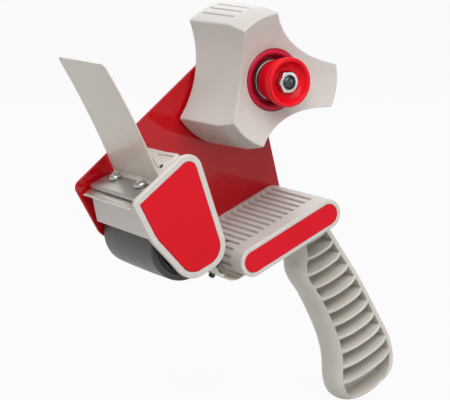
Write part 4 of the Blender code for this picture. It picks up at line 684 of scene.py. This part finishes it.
def guide_columns():
    """Points, outward normals and groove shares once round the guide's section, then the same for its hollow.

    The section is a stadium: rear half circle, top with a groove every pitch, front half circle with three
    more, and bottom. The last columns run over the bottom; in the hollow rows they follow the cavity's walls
    and roof."""
    rear_centre, front_centre = GUIDE_REAR - GUIDE_RADIUS, GUIDE_FRONT + GUIDE_RADIUS
    lip = -math.acos((CAVITY_REAR - rear_centre) / GUIDE_RADIUS)
    rear = np.linspace(lip, math.pi / 2, 22)
    groove_x = GUIDE_REAR - 8.8 - np.arange(13) * GROOVE_PITCH
    marks = np.array([GROOVE_HALF, GROOVE_HALF - 0.3, -GROOVE_HALF + 0.3, -GROOVE_HALF])
    top_x = (groove_x[:, None] + marks).ravel()
    marks_turn = marks / (GUIDE_RADIUS - 0.6)
    front = np.concatenate([np.linspace(math.pi / 2, 3 * math.pi / 2, 30),
                            (END_GROOVES[:, None] + marks_turn).ravel()])
    front = np.unique(front)
    offset = np.min(np.abs(front[:, None] - END_GROOVES), 1) * (GUIDE_RADIUS - 0.6)
    under_x = np.linspace(front_centre, CAVITY_FRONT, 3)[1:]
    roof_x = np.concatenate([np.linspace(CAVITY_FRONT, rear_centre, 14),
                             np.linspace(rear_centre, CAVITY_REAR, 5)[1:]])

    def arc(centre, turns):
        normal = np.stack([np.cos(turns), np.sin(turns)], -1)
        return np.array([centre, GUIDE_MID]) + GUIDE_RADIUS * normal, normal

    rear_points, rear_normals = arc(rear_centre, rear)
    front_points, front_normals = arc(front_centre, front)
    roof_turn = -np.arccos(np.clip((roof_x - rear_centre) / GUIDE_RADIUS, 0, 1))
    roof_turn = np.where(roof_x <= rear_centre, -math.pi / 2, roof_turn)
    roof_normal = np.stack([np.cos(roof_turn), np.sin(roof_turn)], -1)
    roof_points = np.stack([roof_x, GUIDE_MID + GUIDE_RADIUS * roof_normal[:, 1]], -1)
    up, down = np.array([0.0, 1.0]), np.array([0.0, -1.0])
    solid = np.concatenate([
        rear_points, np.stack([top_x, np.full(len(top_x), GUIDE_TOP)], -1), front_points,
        np.stack([under_x, np.full(len(under_x), GUIDE_BOTTOM)], -1), roof_points])
    normals = np.concatenate([
        rear_normals, np.tile(up, (len(top_x), 1)), front_normals, np.tile(down, (len(under_x), 1)),
        roof_normal])
    grooves = np.concatenate([
        np.zeros(len(rear)), np.tile([0, 1, 1, 0], len(groove_x)), groove_share(offset),
        np.zeros(len(under_x) + len(roof_x))])
    hollow = solid.copy()
    hollow[-len(roof_x):] = np.stack([roof_x, np.full(len(roof_x), CAVITY_ROOF)], -1)
    return solid, normals, grooves, hollow


def guide_shells():
    """The guide: rows across z, with softened ends, a recess in the near face, grooves between two heights, a
    hollow underside, and a slot in its front that is the same section with its front pushed back."""
    solid, normals, grooves, hollow = guide_columns()

    def row(z, inset=0.0, cut=0, open_under=False, slotted=False):
        base = hollow if open_under else solid
        points = base - normals * (inset + GROOVE_DEPTH * grooves * cut)[:, None]
        if slotted:
            points = np.stack([np.maximum(points[:, 0], SLOT_BACK), points[:, 1]], -1)
        return at(points, z)

    keys = [
        (row(GUIDE_FAR, 1.2), 0), (row(GUIDE_FAR), 0.5), (row(-23.3), 0), (row(-23.3, open_under=True), 0),
        (row(-22.2, open_under=True), 0), (row(-21.8, 0.0, 1, True), 0),
        (row(1.8, 0.0, 1, True), 0), (row(1.8, 0.0, 1, True, True), 0), (row(6.2, 0.0, 1, True, True), 0),
        (row(6.2, 0.0, 1, True), 0), (row(15.8, 0.0, 1, True), 0), (row(16.2, open_under=True), 0),
        (row(22.9, open_under=True), 0), (row(22.9), 0), (row(GUIDE_NEAR), 0.7),
        (row(GUIDE_NEAR, INSET_RIM), 0.25), (row(INSET_FLOOR, INSET_RIM), 0.1),
        (row(INSET_FLOOR, INSET_RIM + 0.8), 0),
    ]
    shells = [skin(softened([k for k, _ in keys], [s for _, s in keys]))]
    boss = [(3.4, -25.0), (3.5, -18.0), (2.0, -18.0), (2.0, -19.5)]
    shells += [lathe(boss, [0, 0.4, 0.2, 0], 40, origin=(x, y, 0)) for x, y in GUIDE_SCREWS]
    post = [(3.5, 0.0), (3.4, 7.0)]
    shells += [lathe(post, [0, 0], 40, origin=(-back, GUIDE_BOTTOM + 5.3, 0), up=(0, 1, 0))
               for back in GRIP_SCREW_BACKS]
    return shells


piece("guide_shell", guide_shells(), GREY_ABS, "frame", ["guide_body"])


INSERT_EDGE = 2.35
insert_x = (GUIDE_FRONT + INSERT_EDGE, GUIDE_REAR - INSERT_EDGE)
insert_y = (GUIDE_BOTTOM + INSERT_EDGE, GUIDE_TOP - INSERT_EDGE)
guide_insert = [(insert_x[i], insert_y[j], GUIDE_RADIUS - INSERT_EDGE)
                for i, j in ((0, 0), (1, 0), (1, 1), (0, 1))]
piece("guide_insert", [slab(guide_insert, 25.6, 26.7, 0.25, 20)], RED_INSERT, "frame",
      ["guide_inset"])

# ---- handle

GRIP_LENGTH = 105.0
GRIP_BREADTH = 40.0
GRIP_DEPTH = 27.0
GRIP_TOP = GUIDE_BOTTOM - SEAT_GAP
GRIP_POWER = 2.6
FRONT_WALL = 4.0
BACK_WALL = 2.8
RIM_ROUND = 0.9
RIBS = 5.8 + 8.52 * np.arange(11)
RIB_THICKNESS = 1.9
END_WALL = 2.4
WEB_HALF = 1.25
FRONT_SHARES = np.array([
    (0.00, -0.39), (0.12, -0.41), (0.20, -0.50), (0.26, -0.51), (0.36, -0.45), (0.50, -0.41), (0.64, -0.40),
    (0.75, -0.44), (0.86, -0.54), (0.93, -0.56), (0.98, -0.51), (1.00, -0.43),
])
BACK_SHARES = np.array([
    (0.00, 0.08), (0.14, 0.18), (0.40, 0.33), (0.66, 0.43), (0.80, 0.48), (0.90, 0.45), (0.96, 0.36),
    (1.00, 0.18),
])
DEPTH_SHARES = np.array([(0.00, 0.94), (0.25, 1.0), (0.90, 1.0), (0.97, 0.96), (1.0, 0.86)])


def along(table, share):
    """Read a table of (share, value) pairs by cubic curves that meet with equal slopes."""
    s, v = table.T
    slope = np.gradient(v, s)
    slope[1:-1] = (v[2:] - v[:-2]) / (s[2:] - s[:-2])
    i = np.clip(np.searchsorted(s, share) - 1, 0, len(s) - 2)
    span = s[i + 1] - s[i]
    t = (share - s[i]) / span
    h = 1 - t
    ends = h * h * (1 + 2 * t) * v[i] + t * t * (3 - 2 * t) * v[i + 1]
    return ends + span * t * h * (h * slope[i] - t * slope[i + 1])


def grip_rows():
    """The handle: sections down its length, each an oval whose back is a flat rim. A column keeps its place
    within the front wall, the pocket or the rim, and inside a pocket both faces sink to the web, over walls
    0.3 mm wide."""
    starts = np.append(END_WALL, RIBS + RIB_THICKNESS)
    ends = np.append(RIBS, GRIP_LENGTH - END_WALL)
    lips = np.array([-0.35, -0.08, 0.1, 0.3])
    inner = np.stack([starts + (ends - starts) * k for k in (0.33, 0.67)])
    drops = np.concatenate([(starts[:, None] + lips).ravel(), (ends[:, None] - lips).ravel(), inner.ravel(),
                            [0.0, 0.5, 1.2, 95.0, 100.0, 103.6, 104.1, 104.5, 104.8, GRIP_LENGTH]])
    drops = np.unique(np.clip(drops, 0, GRIP_LENGTH))
    sunk_levels = [0, 0.035, 0.97, 1]
    inside = np.zeros(len(drops))
    for start, end in zip(starts, ends):
        inside = np.maximum(inside, np.minimum(np.interp(drops, start + lips, sunk_levels),
                                               np.interp(-drops, -end + lips, sunk_levels)))
    share = drops / GRIP_LENGTH
    tail = np.sqrt(np.clip(1 - (np.clip(drops - 103.6, 0, 1.4) / 1.5) ** 2, 0, 1))
    head = np.sqrt(np.clip(1 - (np.clip(1.2 - drops, 0, 1.2) / 1.35) ** 2, 0, 1))
    drawn = 1.5 * (1 - tail) + 1.2 * (1 - head)
    front = along(FRONT_SHARES, share) * GRIP_BREADTH + drawn
    back = along(BACK_SHARES, share) * GRIP_BREADTH - drawn
    depth = along(DEPTH_SHARES, share) * GRIP_DEPTH / 2 - drawn
    lean = np.gradient(back - drawn, drops)
    wall = back - BACK_WALL * np.sqrt(1 + np.clip(lean, -1.2, 0) ** 2)
    width = wall - front - FRONT_WALL
    curve = 1 - np.cos(np.linspace(0, math.pi / 2, 9))
    bend = np.linspace(0, math.pi / 2, 5)
    columns = [(front + FRONT_WALL * c, 0.0, 0.0) for c in curve[:-1]]
    columns += [(front + FRONT_WALL + lip, level, 0.0) for lip, level in zip(lips, sunk_levels)]
    columns += [(front + FRONT_WALL + width * k, 1.0, 0.0) for k in np.linspace(0.04, 0.96, 12)]
    columns += [(wall - lip, level, 0.0) for lip, level in zip(lips[::-1], sunk_levels[::-1])]
    columns += [(back - RIM_ROUND * (1 - math.sin(t)), 0.0, RIM_ROUND * (1 - math.cos(t))) for t in bend]
    x = np.stack([c for c, _, _ in columns], 1)
    sunk = np.array([level for _, level, _ in columns]) * inside[:, None]
    middle, half = (front + back)[:, None] / 2, (back - front)[:, None] / 2
    place = np.clip(np.abs(np.minimum(x, wall[:, None]) - middle) / half, 0, 1)
    bevel = np.array([r for _, _, r in columns])
    shell = depth[:, None] * (1 - place ** GRIP_POWER) ** (1 / GRIP_POWER) - bevel
    z = shell * (1 - sunk) + np.minimum(WEB_HALF, shell) * sunk
    y = np.broadcast_to((GRIP_TOP - drops)[:, None], x.shape)
    near = np.stack([x, y, z], -1)
    far = np.stack([x, y, -z], -1)[:, ::-1]
    return np.concatenate([near, far], 1)


tang_low = GUIDE_BOTTOM + 2.0
grip_shells = [
    skin(grip_rows()),
    block((-14.0, GRIP_TOP - 1.2, -9.0), (1.0, tang_low + 1.5, 9.0), 0.5),
    block((-37.0, tang_low, -9.0), (1.3, tang_low + 3.0, 9.0), 0.5),
]
piece("grip_shell", grip_shells, GRIP_ABS, "frame", ["handle_grip"])

# ---- nose housing

CHEEK_IN = 26.5
CHEEK_OUT = 29.1
CHEEK_FLOOR = 27.9
CHEEK_STEPS = 18
NOSE_RIM = 3.2
HOOD_WALL = 2.4
LAND_Y = -18.0
LAND_FRONT = -99.5
LAND_REAR = -82.5
HOOD_REAR = -57.9
DECK_TOP = LAND_Y + 4.8
APRON_DROP = 16.0
APRON_FOOT = LAND_Y - APRON_DROP
CHEEK_SHARES = [
    (0.00, CHEEK_TOP, 0.065), (0.045, 0.47, 0.40), (0.285, 0.00, 0.19), (0.905, 0.00, 0.20),
    (1.00, 1.00, 0.13),
]
CHEEK = [(NOSE_FRONT + x * NOSE_LENGTH, NOSE_BOTTOM + y * NOSE_HEIGHT, r * NOSE_HEIGHT)
         for x, y, r in CHEEK_SHARES]


def cheek_shell():
    """The near cheek: its outline with rounded edges and a recess inside a rim."""
    levels = [(2.0, CHEEK_IN), (0, CHEEK_IN), (0, CHEEK_OUT), (NOSE_RIM, CHEEK_OUT), (NOSE_RIM, CHEEK_FLOOR),
              (NOSE_RIM + 1, CHEEK_FLOOR)]
    return skin(softened(rims(CHEEK, levels, CHEEK_STEPS), [0, 0.6, 0.8, 0.3, 0.1, 0]))


def hood_shell():
    """The hood's bent wall carried across z. Its far end is cut back along the apron, on a slant, and near
    the cheek its rear is tucked in behind the cheek's edge."""
    wall = [
        (LAND_FRONT, LAND_Y, 0.8), (LAND_REAR, LAND_Y, 2.0), (HOOD_REAR, DECK_TOP, 1.2),
        (HOOD_REAR - 1.6, DECK_TOP - 17, 0.6), (HOOD_REAR - 4.0, DECK_TOP - 17, 0.6),
        (HOOD_REAR - HOOD_WALL, DECK_TOP - HOOD_WALL, 0.6), (LAND_REAR, LAND_Y - HOOD_WALL, 2.0),
        (LAND_FRONT + HOOD_WALL, LAND_Y - HOOD_WALL, 0.6), (LAND_FRONT + 1.4, APRON_FOOT, 0.6),
        (LAND_FRONT - 1.0, APRON_FOOT, 0.6),
    ]

    def row(inset, z, slanted):
        flat = outline(wall, inset, 5)
        drop = np.clip((LAND_Y - flat[:, 1]) / APRON_DROP, 0, 1)
        apron = (flat[:, 0] < LAND_FRONT + 3.2) & (flat[:, 1] < LAND_Y - 0.2)
        height = np.where(apron, z + 6.1 - 4.7 * drop, z) if slanted else z
        tucked = 4.3 * np.clip((flat[:, 0] + 76) / 12, 0, 1) * (z > CHEEK_IN - 4)
        return at(flat - np.stack([tucked, 0 * tucked], -1), height)

    far = PLATE_IN + SEAT_GAP
    keys = [row(0.8, far, True), row(0, far, True), row(0, CHEEK_IN - 6, False), row(0, CHEEK_IN - 3, False),
            row(0, CHEEK_IN + 1.2, False), row(0.8, CHEEK_IN + 1.2, False)]
    return skin(softened(keys, (0, 0.4, 0, 0, 0.3, 0)))


def nose_shells():
    """Cheek, hood, far flange, screw bosses and the axle's boss of the nose."""
    far = PLATE_IN + SEAT_GAP
    flange = [(LAND_FRONT + 3.0, LAND_Y - 1.2, 0.5), (HOOD_REAR - 0.3, LAND_Y - 1.2, 0.5),
              (HOOD_REAR - 1.1, LAND_Y - 11, 1.0), (LAND_FRONT + 3.0, LAND_Y - 11, 1.0)]
    shells = [cheek_shell(), hood_shell(), slab(flange, far, far + HOOD_WALL, 0.3)]
    boss = [(3.2, far + 1), (3.1, far + 9), (2.0, far + 9), (2.0, far + 7)]
    shells += [lathe(boss, [0, 0.4, 0.2, 0], 40, origin=(x, y, 0)) for x, y in NOSE_SCREWS]
    axle = [(7.0, CHEEK_IN + 0.8), (7.0, CHEEK_IN - 1.2), (4.3, CHEEK_IN - 1.2), (4.3, CHEEK_IN + 0.5)]
    return shells + [lathe(axle, [0, 0.3, 0.3, 0], 64, origin=(*ROLLER, 0))]


piece("nose_shell", nose_shells(), GREY_ABS, "frame", ["nose_housing"])
insert_levels = ((4.4, 28.2), (3.35, 28.2), (3.35, 29.3), (4.4, 29.3))
nose_insert = skin(softened(rims(CHEEK, insert_levels, CHEEK_STEPS), (0, 0.25, 0.25, 0)))
piece("nose_insert", [nose_insert], RED_INSERT, "frame", ["nose_inset"])

DECK_RIM = 0.7
DECK_RUN = unit(np.array([HOOD_REAR - LAND_REAR, DECK_TOP - LAND_Y]))
DECK_LIFT = np.array([-DECK_RUN[1], DECK_RUN[0]])


def on_deck(shell):
    """Lay a shell on the deck: its x runs rearward from the land's edge, its y along z, and its z off the
    deck."""
    points, faces = shell
    flat = np.array([LAND_REAR, LAND_Y]) + points[:, :1] * DECK_RUN + points[:, 2:] * DECK_LIFT
    return np.column_stack([flat, points[:, 1]]), faces


def deck_frame():
    """A low rim round the deck's three-cornered recess: the recess's outline, and the same drawn out by the
    width."""
    corners = [(21.0, -14.0, 0.8), (22.3, 4.4, 0.8), (15.0, 1.8, 0.8)]
    levels = ((-2.7, -0.3), (-1.9, DECK_RIM), (0, DECK_RIM), (0, -0.3))
    return skin(softened(rims(corners, levels), (0, 0.3, 0.35, 0), looped=True), looped=True)


piece("deck_recess_rim", [on_deck(deck_frame())], GREY_ABS, "frame")
# Painted shade: the deck is not cut here; a thin dark disc set into the rim's corner stands for the shadow
# inside a small hole.
hole_back = 14.0
hole_rise = (DECK_TOP - LAND_Y) * hole_back / (HOOD_REAR - LAND_REAR) + DECK_RIM
hole = lathe([(0.05, 0.06), (1.05, 0.06), (1.1, -0.5), (0.05, -0.5)], [0, 0.02, 0, 0], 40,
             origin=(LAND_REAR + hole_back, LAND_Y + hole_rise, 2.9), up=(*DECK_LIFT, 0.0))
piece("deck_hole_shade", [hole], PAINTED_HOLE_SHADE, "frame")

# ---- cutter and wiper

STRIP_HALF = 24.0
BLADE_TIP = LAND_FRONT - 2.8
BLADE_THICKNESS = 0.8
BLADE_LOW = LAND_Y + SEAT_GAP
BLADE_STATIONS = 61
TOOTH_DEPTH = 1.9
FILM_THICKNESS = 0.7
FILM_SPACE = 0.8
CLAMP_LOW = BLADE_LOW + BLADE_THICKNESS + SEAT_GAP + FILM_SPACE + SEAT_GAP
CLAMP_TOP = CLAMP_LOW + 1.2
CLAMP_FRONT = LAND_FRONT + 2.4
CLAMP_REAR = LAND_FRONT + 15.2
FOOT_Y = BLADE_LOW + BLADE_THICKNESS + SEAT_GAP + FILM_SPACE / 2
BEND_RADIUS = 3.0
HINGE = np.array([CLAMP_REAR + BEND_RADIUS, FOOT_Y + BEND_RADIUS])
FLAP_HEIGHT = 64.0
FLAP_LEAN = 5.0
FLAP_CORNER = 2.5


def blade_rows():
    """The blade: stations across z at each tooth's foot and point. Its section is ground to an edge, and the
    edge runs forward at the points."""
    z = np.linspace(-STRIP_HALF, STRIP_HALF, BLADE_STATIONS)
    tip = np.where(np.arange(BLADE_STATIONS) % 2 == 1, BLADE_TIP, BLADE_TIP + TOOTH_DEPTH)
    back, top = BLADE_TIP + 18.0, BLADE_LOW + BLADE_THICKNESS
    columns = [(tip, BLADE_LOW + 0.1), (tip + 0.1, BLADE_LOW + 0.5), (BLADE_TIP + 3.4, top), (back, top),
               (back, BLADE_LOW), (BLADE_TIP + 2.6, BLADE_LOW)]
    return np.stack([np.stack([x + 0 * z, y + 0 * z, z], -1) for x, y in columns], 1)


piece("blade_strip", [skin(blade_rows())], BLADE_STEEL, "frame", ["cutter_blade"],
      math.radians(20))


def clamp_shell():
    """The clamp: a plate whose front edge is folded down, as an outline carried across z."""
    lip = CLAMP_LOW - 0.9
    fold = [
        (CLAMP_REAR, CLAMP_LOW, 0.3), (CLAMP_REAR, CLAMP_TOP, 0.3), (CLAMP_FRONT, CLAMP_TOP, 1.0),
        (CLAMP_FRONT, lip, 0.25), (CLAMP_FRONT + 0.9, lip, 0.2), (CLAMP_FRONT + 0.9, CLAMP_LOW, 0.2),
    ]
    return slab(fold, -23.0, 23.0, 0.2, 6)


piece("clamp_plate", [clamp_shell()], STRIP_STEEL, "frame", ["blade_clamp"])


def foot_path():
    """Flat under the clamp, then a quarter circle up to the hinge line."""
    turn = np.linspace(-math.pi / 2, 0, 9)
    bend = HINGE - [BEND_RADIUS, 0] + BEND_RADIUS * np.stack([np.cos(turn), np.sin(turn)], -1)
    flat = np.stack([np.linspace(CLAMP_FRONT + 1.2, bend[0, 0], 4)[:-1], np.full(3, FOOT_Y)], -1)
    return np.concatenate([flat, bend])


def flap_strip():
    """The film's free part: it leans forward with the square of its height, and its top corners are round."""
    straight = FLAP_HEIGHT - FLAP_CORNER
    rounded = straight + FLAP_CORNER * np.sin(np.linspace(0, math.pi / 2, 9))[1:]
    height = np.concatenate([np.linspace(0, straight, 30), rounded])
    lean = FLAP_LEAN * (height / FLAP_HEIGHT) ** 2
    path = np.stack([HINGE[0] - lean, HINGE[1] + SEAT_GAP + height], -1)
    corner = np.clip(height - straight, 0, FLAP_CORNER)
    halves = STRIP_HALF - FLAP_CORNER + np.sqrt(FLAP_CORNER ** 2 - corner ** 2)
    return strip(path, halves, FILM_THICKNESS)


piece("wiper_foot_film", [strip(foot_path(), STRIP_HALF, FILM_THICKNESS)], FILM, "frame",
      ["wiper_foot"])
piece("wiper_flap_film", [flap_strip()], FILM, "wiper", ["wiper_flap"])

# ---- roller

ROLLER_HALF = 24.7
AXLE_BORE = 4.3
SPINDLE = (*ROLLER, 0)


def mirrored(half):
    """A profile and its mirror image below z = 0."""
    return half + [(r, -z) for r, z in half[::-1]]


tyre_profile = mirrored([(14.5, ROLLER_HALF), (17.2, ROLLER_HALF), (17.7, ROLLER_HALF - 0.5), (18.0, 12.0)])
tyre = lathe(tyre_profile, [0.2, 0.4, 0.4, 4, 4, 0.4, 0.4, 0.2], 144, True, origin=SPINDLE)
piece("tyre_sleeve", [tyre], RUBBER, "roller", ["roller_tyre"])
core_profile = mirrored([(AXLE_BORE, ROLLER_HALF), (7, ROLLER_HALF), (7, 1.5), (12, 1.5), (12, ROLLER_HALF),
                         (14.2, ROLLER_HALF)])
core_soft = [0.3, 0.3, 0.6, 0.6, 0.3, 0.2]
core_shells = [lathe(core_profile, core_soft + core_soft[::-1], 96, True, origin=SPINDLE)]
for spoke in np.arange(6) * math.tau / 6:
    points, faces = block((6.5, -0.8, -23.5), (12.5, 0.8, 23.5), 0.3)
    c, s = math.cos(spoke), math.sin(spoke)
    core_shells.append((points @ np.array([[c, s, 0], [-s, c, 0], [0, 0, 1]]) + np.array(SPINDLE), faces))
piece("roller_spool", core_shells, BLACK_NYLON, "roller", ["roller_core"])
axle = lathe([(0.3, 27.0), (4.0, 27.0), (4.0, -33.7), (0.3, -33.7)], [0, 0.6, 0.6, 0], 64, origin=SPINDLE)
piece("axle_pin", [axle], ZINC, "frame", ["roller_axle"])


def at_roller(shell):
    points, faces = shell
    return points + np.array(SPINDLE), faces


axle_nut = nut(13.0, NUT_HEIGHT, AXLE_BORE, PLATE_OUT - SEAT_GAP - NUT_HEIGHT)
piece("axle_collar", [at_roller(ring(AXLE_BORE, 7.0, -25.7, -25.0))], ZINC, "frame",
      ["axle_spacer"])
piece("axle_hex_nut", [at_roller(axle_nut)], ZINC, "frame", ["axle_nut"])

# ---- screws and rivets

screws = [(f"frame_screw_{i + 1}", (x, y, PLATE_OUT - SEAT_GAP), (0, 0, -1))
          for i, (x, y) in enumerate(GUIDE_SCREWS + NOSE_SCREWS)]
screws += [(f"clamp_screw_{i + 1}", (LAND_FRONT + 12.5, CLAMP_TOP + SEAT_GAP, z), (0, 1, 0))
           for i, z in enumerate((-13.0, 13.0))]
screws += [(f"grip_screw_{i + 1}", (-back, tang_low - SEAT_GAP, 0), (0, -1, 0))
           for i, back in enumerate(GRIP_SCREW_BACKS)]
for name, place, up in screws:
    piece(name + "_steel", [skin(placed(pan_head(), place, up))], ZINC, "frame", [name])

TONGUE_ROOT = np.array([GUIDE_FRONT + 2.2, GUIDE_BOTTOM - SEAT_GAP - 0.25])
rivet_profile = [(0.1, 0.8), (1.0, 0.78), (1.7, 0.5), (2.0, 0.0), (1.0, 0.0), (1.0, -4.0), (0.1, -4.0)]
for i, z in enumerate((-12.0, 12.0)):
    place = (TONGUE_ROOT[0] + 3.75, TONGUE_ROOT[1] - 0.25 - SEAT_GAP, z)
    rivet = lathe(rivet_profile, [0, 0.3, 0.3, 0.1, 0.1, 0.1, 0], 48, origin=place, up=(0, -1, 0))
    piece(f"tongue_rivet_{i + 1}_steel", [rivet], ZINC, "frame", [f"tongue_rivet_{i + 1}"])

# ---- tape retainer


def tongue_shells():
    """The tongue: a quarter ellipse forward and up from its root, in two leaves beside the finger's slit."""
    turn = np.linspace(0, math.pi / 2, 16)
    path = TONGUE_ROOT + np.stack([-SEAT_GAP - 10.5 * np.sin(turn), 13.0 * (1 - np.cos(turn))], -1)
    leaves = ((-17.0, 1.5), (6.5, 17.0))
    shells = [strip(path, (high - low) / 2, 0.5, (low + high) / 2) for low, high in leaves]
    return shells + [strip(path[:3], 17.0, 0.46)]


piece("tongue_leaves", tongue_shells(), TONGUE_FILM, "tongue", ["tape_tongue"])
foot_run = TONGUE_ROOT + np.stack([np.linspace(0, 7.5, 4), np.zeros(4)], -1)
piece("tongue_foot_film", [strip(foot_run, 17.0, 0.5)], TONGUE_FILM, "frame", ["tongue_foot"])


def finger_shell():
    """The wire finger: a leg along z, a quarter bend, a straight reach, and a bead whose radius follows a
    half sine over its length."""
    pivot = np.array([GUIDE_FRONT + 6.0, GUIDE_TOP - 3.8, 4.0])
    aim = np.array([-12.0, -8.5, 0.0])
    run = unit(aim)
    turn = np.linspace(0, math.pi / 2, 9)[:, None]
    bend = run * 1.6 * (1 - np.cos(turn)) + np.array([0, 0, 1.6]) * (1 - np.sin(turn))
    leg = np.array([0, 0, 1.0]) * np.linspace(7.5, 1.8, 4)[:, None]
    reach = np.linalg.norm(aim)
    steps = np.concatenate([np.linspace(1.9, reach - 1.9, 5), reach + np.linspace(-1.7, 1.7, 13)])
    path = pivot + np.concatenate([leg, bend, run * steps[:, None]])
    swell = np.clip(1 - ((steps - reach) / 1.75) ** 2, 0, 1)
    radii = np.concatenate([np.full(len(leg) + len(bend), 0.9), 0.9 + 0.8 * np.sqrt(swell)])
    radii[-1] = 0.5
    return tube(path, radii, np.cross((0.0, 0.0, 1.0), run))


piece("finger_wire", [finger_shell()], BLACK_NYLON, "finger", ["retainer_finger"])

# ---- floor, light and camera


def room():
    """A pale floor in a studio: the surround is pale at the horizon, dim above it and bright overhead. For
    the camera and for reflections the floor is nearly white, and keeps part of the object's shadow."""
    mesh = bpy.data.meshes.new("floor")
    reach, level = 12.0, -0.5 * MM
    corners = [(x * reach, y * reach, level) for x, y in ((-1, -1), (1, -1), (1, 1), (-1, 1))]
    mesh.from_pydata(corners, [], [(0, 1, 2, 3)])
    floor = bpy.data.objects.new("floor", mesh)
    bpy.context.scene.collection.objects.link(floor)
    paper = bpy.data.materials.new("white_paper_floor")
    paper.use_nodes = True
    tree = paper.node_tree
    tree.nodes.clear()
    rays = node(tree, "ShaderNodeLightPath").outputs
    seen = rays["Is Camera Ray"]
    for ray in ("Is Glossy Ray", "Is Transmission Ray"):
        seen = node(tree, "ShaderNodeMath", {0: seen, 1: rays[ray]}, operation="MAXIMUM").outputs[0]
    share = node(tree, "ShaderNodeMath", {0: seen, 1: 0.93}, operation="MULTIPLY")
    matt = node(tree, "ShaderNodeBsdfDiffuse", {"Color": linear("#b9b8b6")})
    glow = node(tree, "ShaderNodeEmission", {"Color": linear("#ffffff"), "Strength": 1.0})
    mixed = node(tree, "ShaderNodeMixShader", {0: share.outputs[0], 1: matt.outputs[0], 2: glow.outputs[0]})
    node(tree, "ShaderNodeOutputMaterial", {"Surface": mixed.outputs[0]})
    mesh.materials.append(paper)
    world = bpy.data.worlds.new("studio_surround")
    world.use_nodes = True
    bpy.context.scene.world = world
    tree = world.node_tree
    tree.nodes.clear()
    aim = node(tree, "ShaderNodeTexCoord").outputs["Generated"]
    height = node(tree, "ShaderNodeSeparateXYZ", {"Vector": aim}).outputs["Z"]
    band = node(tree, "ShaderNodeValToRGB", {"Fac": height})
    ramp = band.color_ramp
    ramp.elements[0].position, ramp.elements[1].position = 0.1, 1.0
    for place in (0.3, 0.7, 0.88):
        ramp.elements.new(place)
    for element, shade in zip(ramp.elements, ("#fcfcfc", "#b2b3b5", "#a9abad", "#fbfbfb", "#ffffff")):
        element.color = linear(shade)
    sky = node(tree, "ShaderNodeBackground", {"Color": band.outputs["Color"], "Strength": 1.0})
    node(tree, "ShaderNodeOutputWorld", {"Surface": sky.outputs[0]})


def softbox(name, place, size, power):
    """A square area light at a place, pointed at the tool's middle."""
    data = bpy.data.lights.new(name, "AREA")
    data.size = size
    data.energy = power
    lamp = bpy.data.objects.new(name, data)
    lamp.location = place
    away = np.array([0.0, 0.0, 0.12]) - np.array(place)
    lamp.rotation_euler = Vector(away).to_track_quat("-Z", "Y").to_euler()
    bpy.context.scene.collection.objects.link(lamp)


def camera():
    """The photograph's view: 119 mm on a 36 mm sensor, 760 mm from the hub, level and looking down by 10.5
    degrees."""
    data = bpy.data.cameras.new("photo_view")
    data.lens = 119.0
    data.sensor_width = 36.0
    eye = bpy.data.objects.new("photo_view", data)
    hub = np.array([HUB_AXIS.x, TAPE_MIDDLE, HUB_AXIS.z])
    eye.location = hub + np.array([-0.4158, -0.6308, 0.0763])
    eye.rotation_euler = Vector((0.524, 0.832, -0.182)).to_track_quat("-Z", "Y").to_euler()
    bpy.context.scene.collection.objects.link(eye)
    bpy.context.scene.camera = eye


room()
softbox("overhead", (-0.2, -0.7, 1.0), 1.0, 8.0)
softbox("front_left", (-0.7, -0.9, 0.95), 0.6, 3.2)
softbox("front_right", (0.8, -0.9, 0.35), 0.5, 0.8)
softbox("behind", (0.4, 1.1, 0.7), 0.7, 3.0)
camera()
bpy.context.scene.view_settings.view_transform = "Standard"
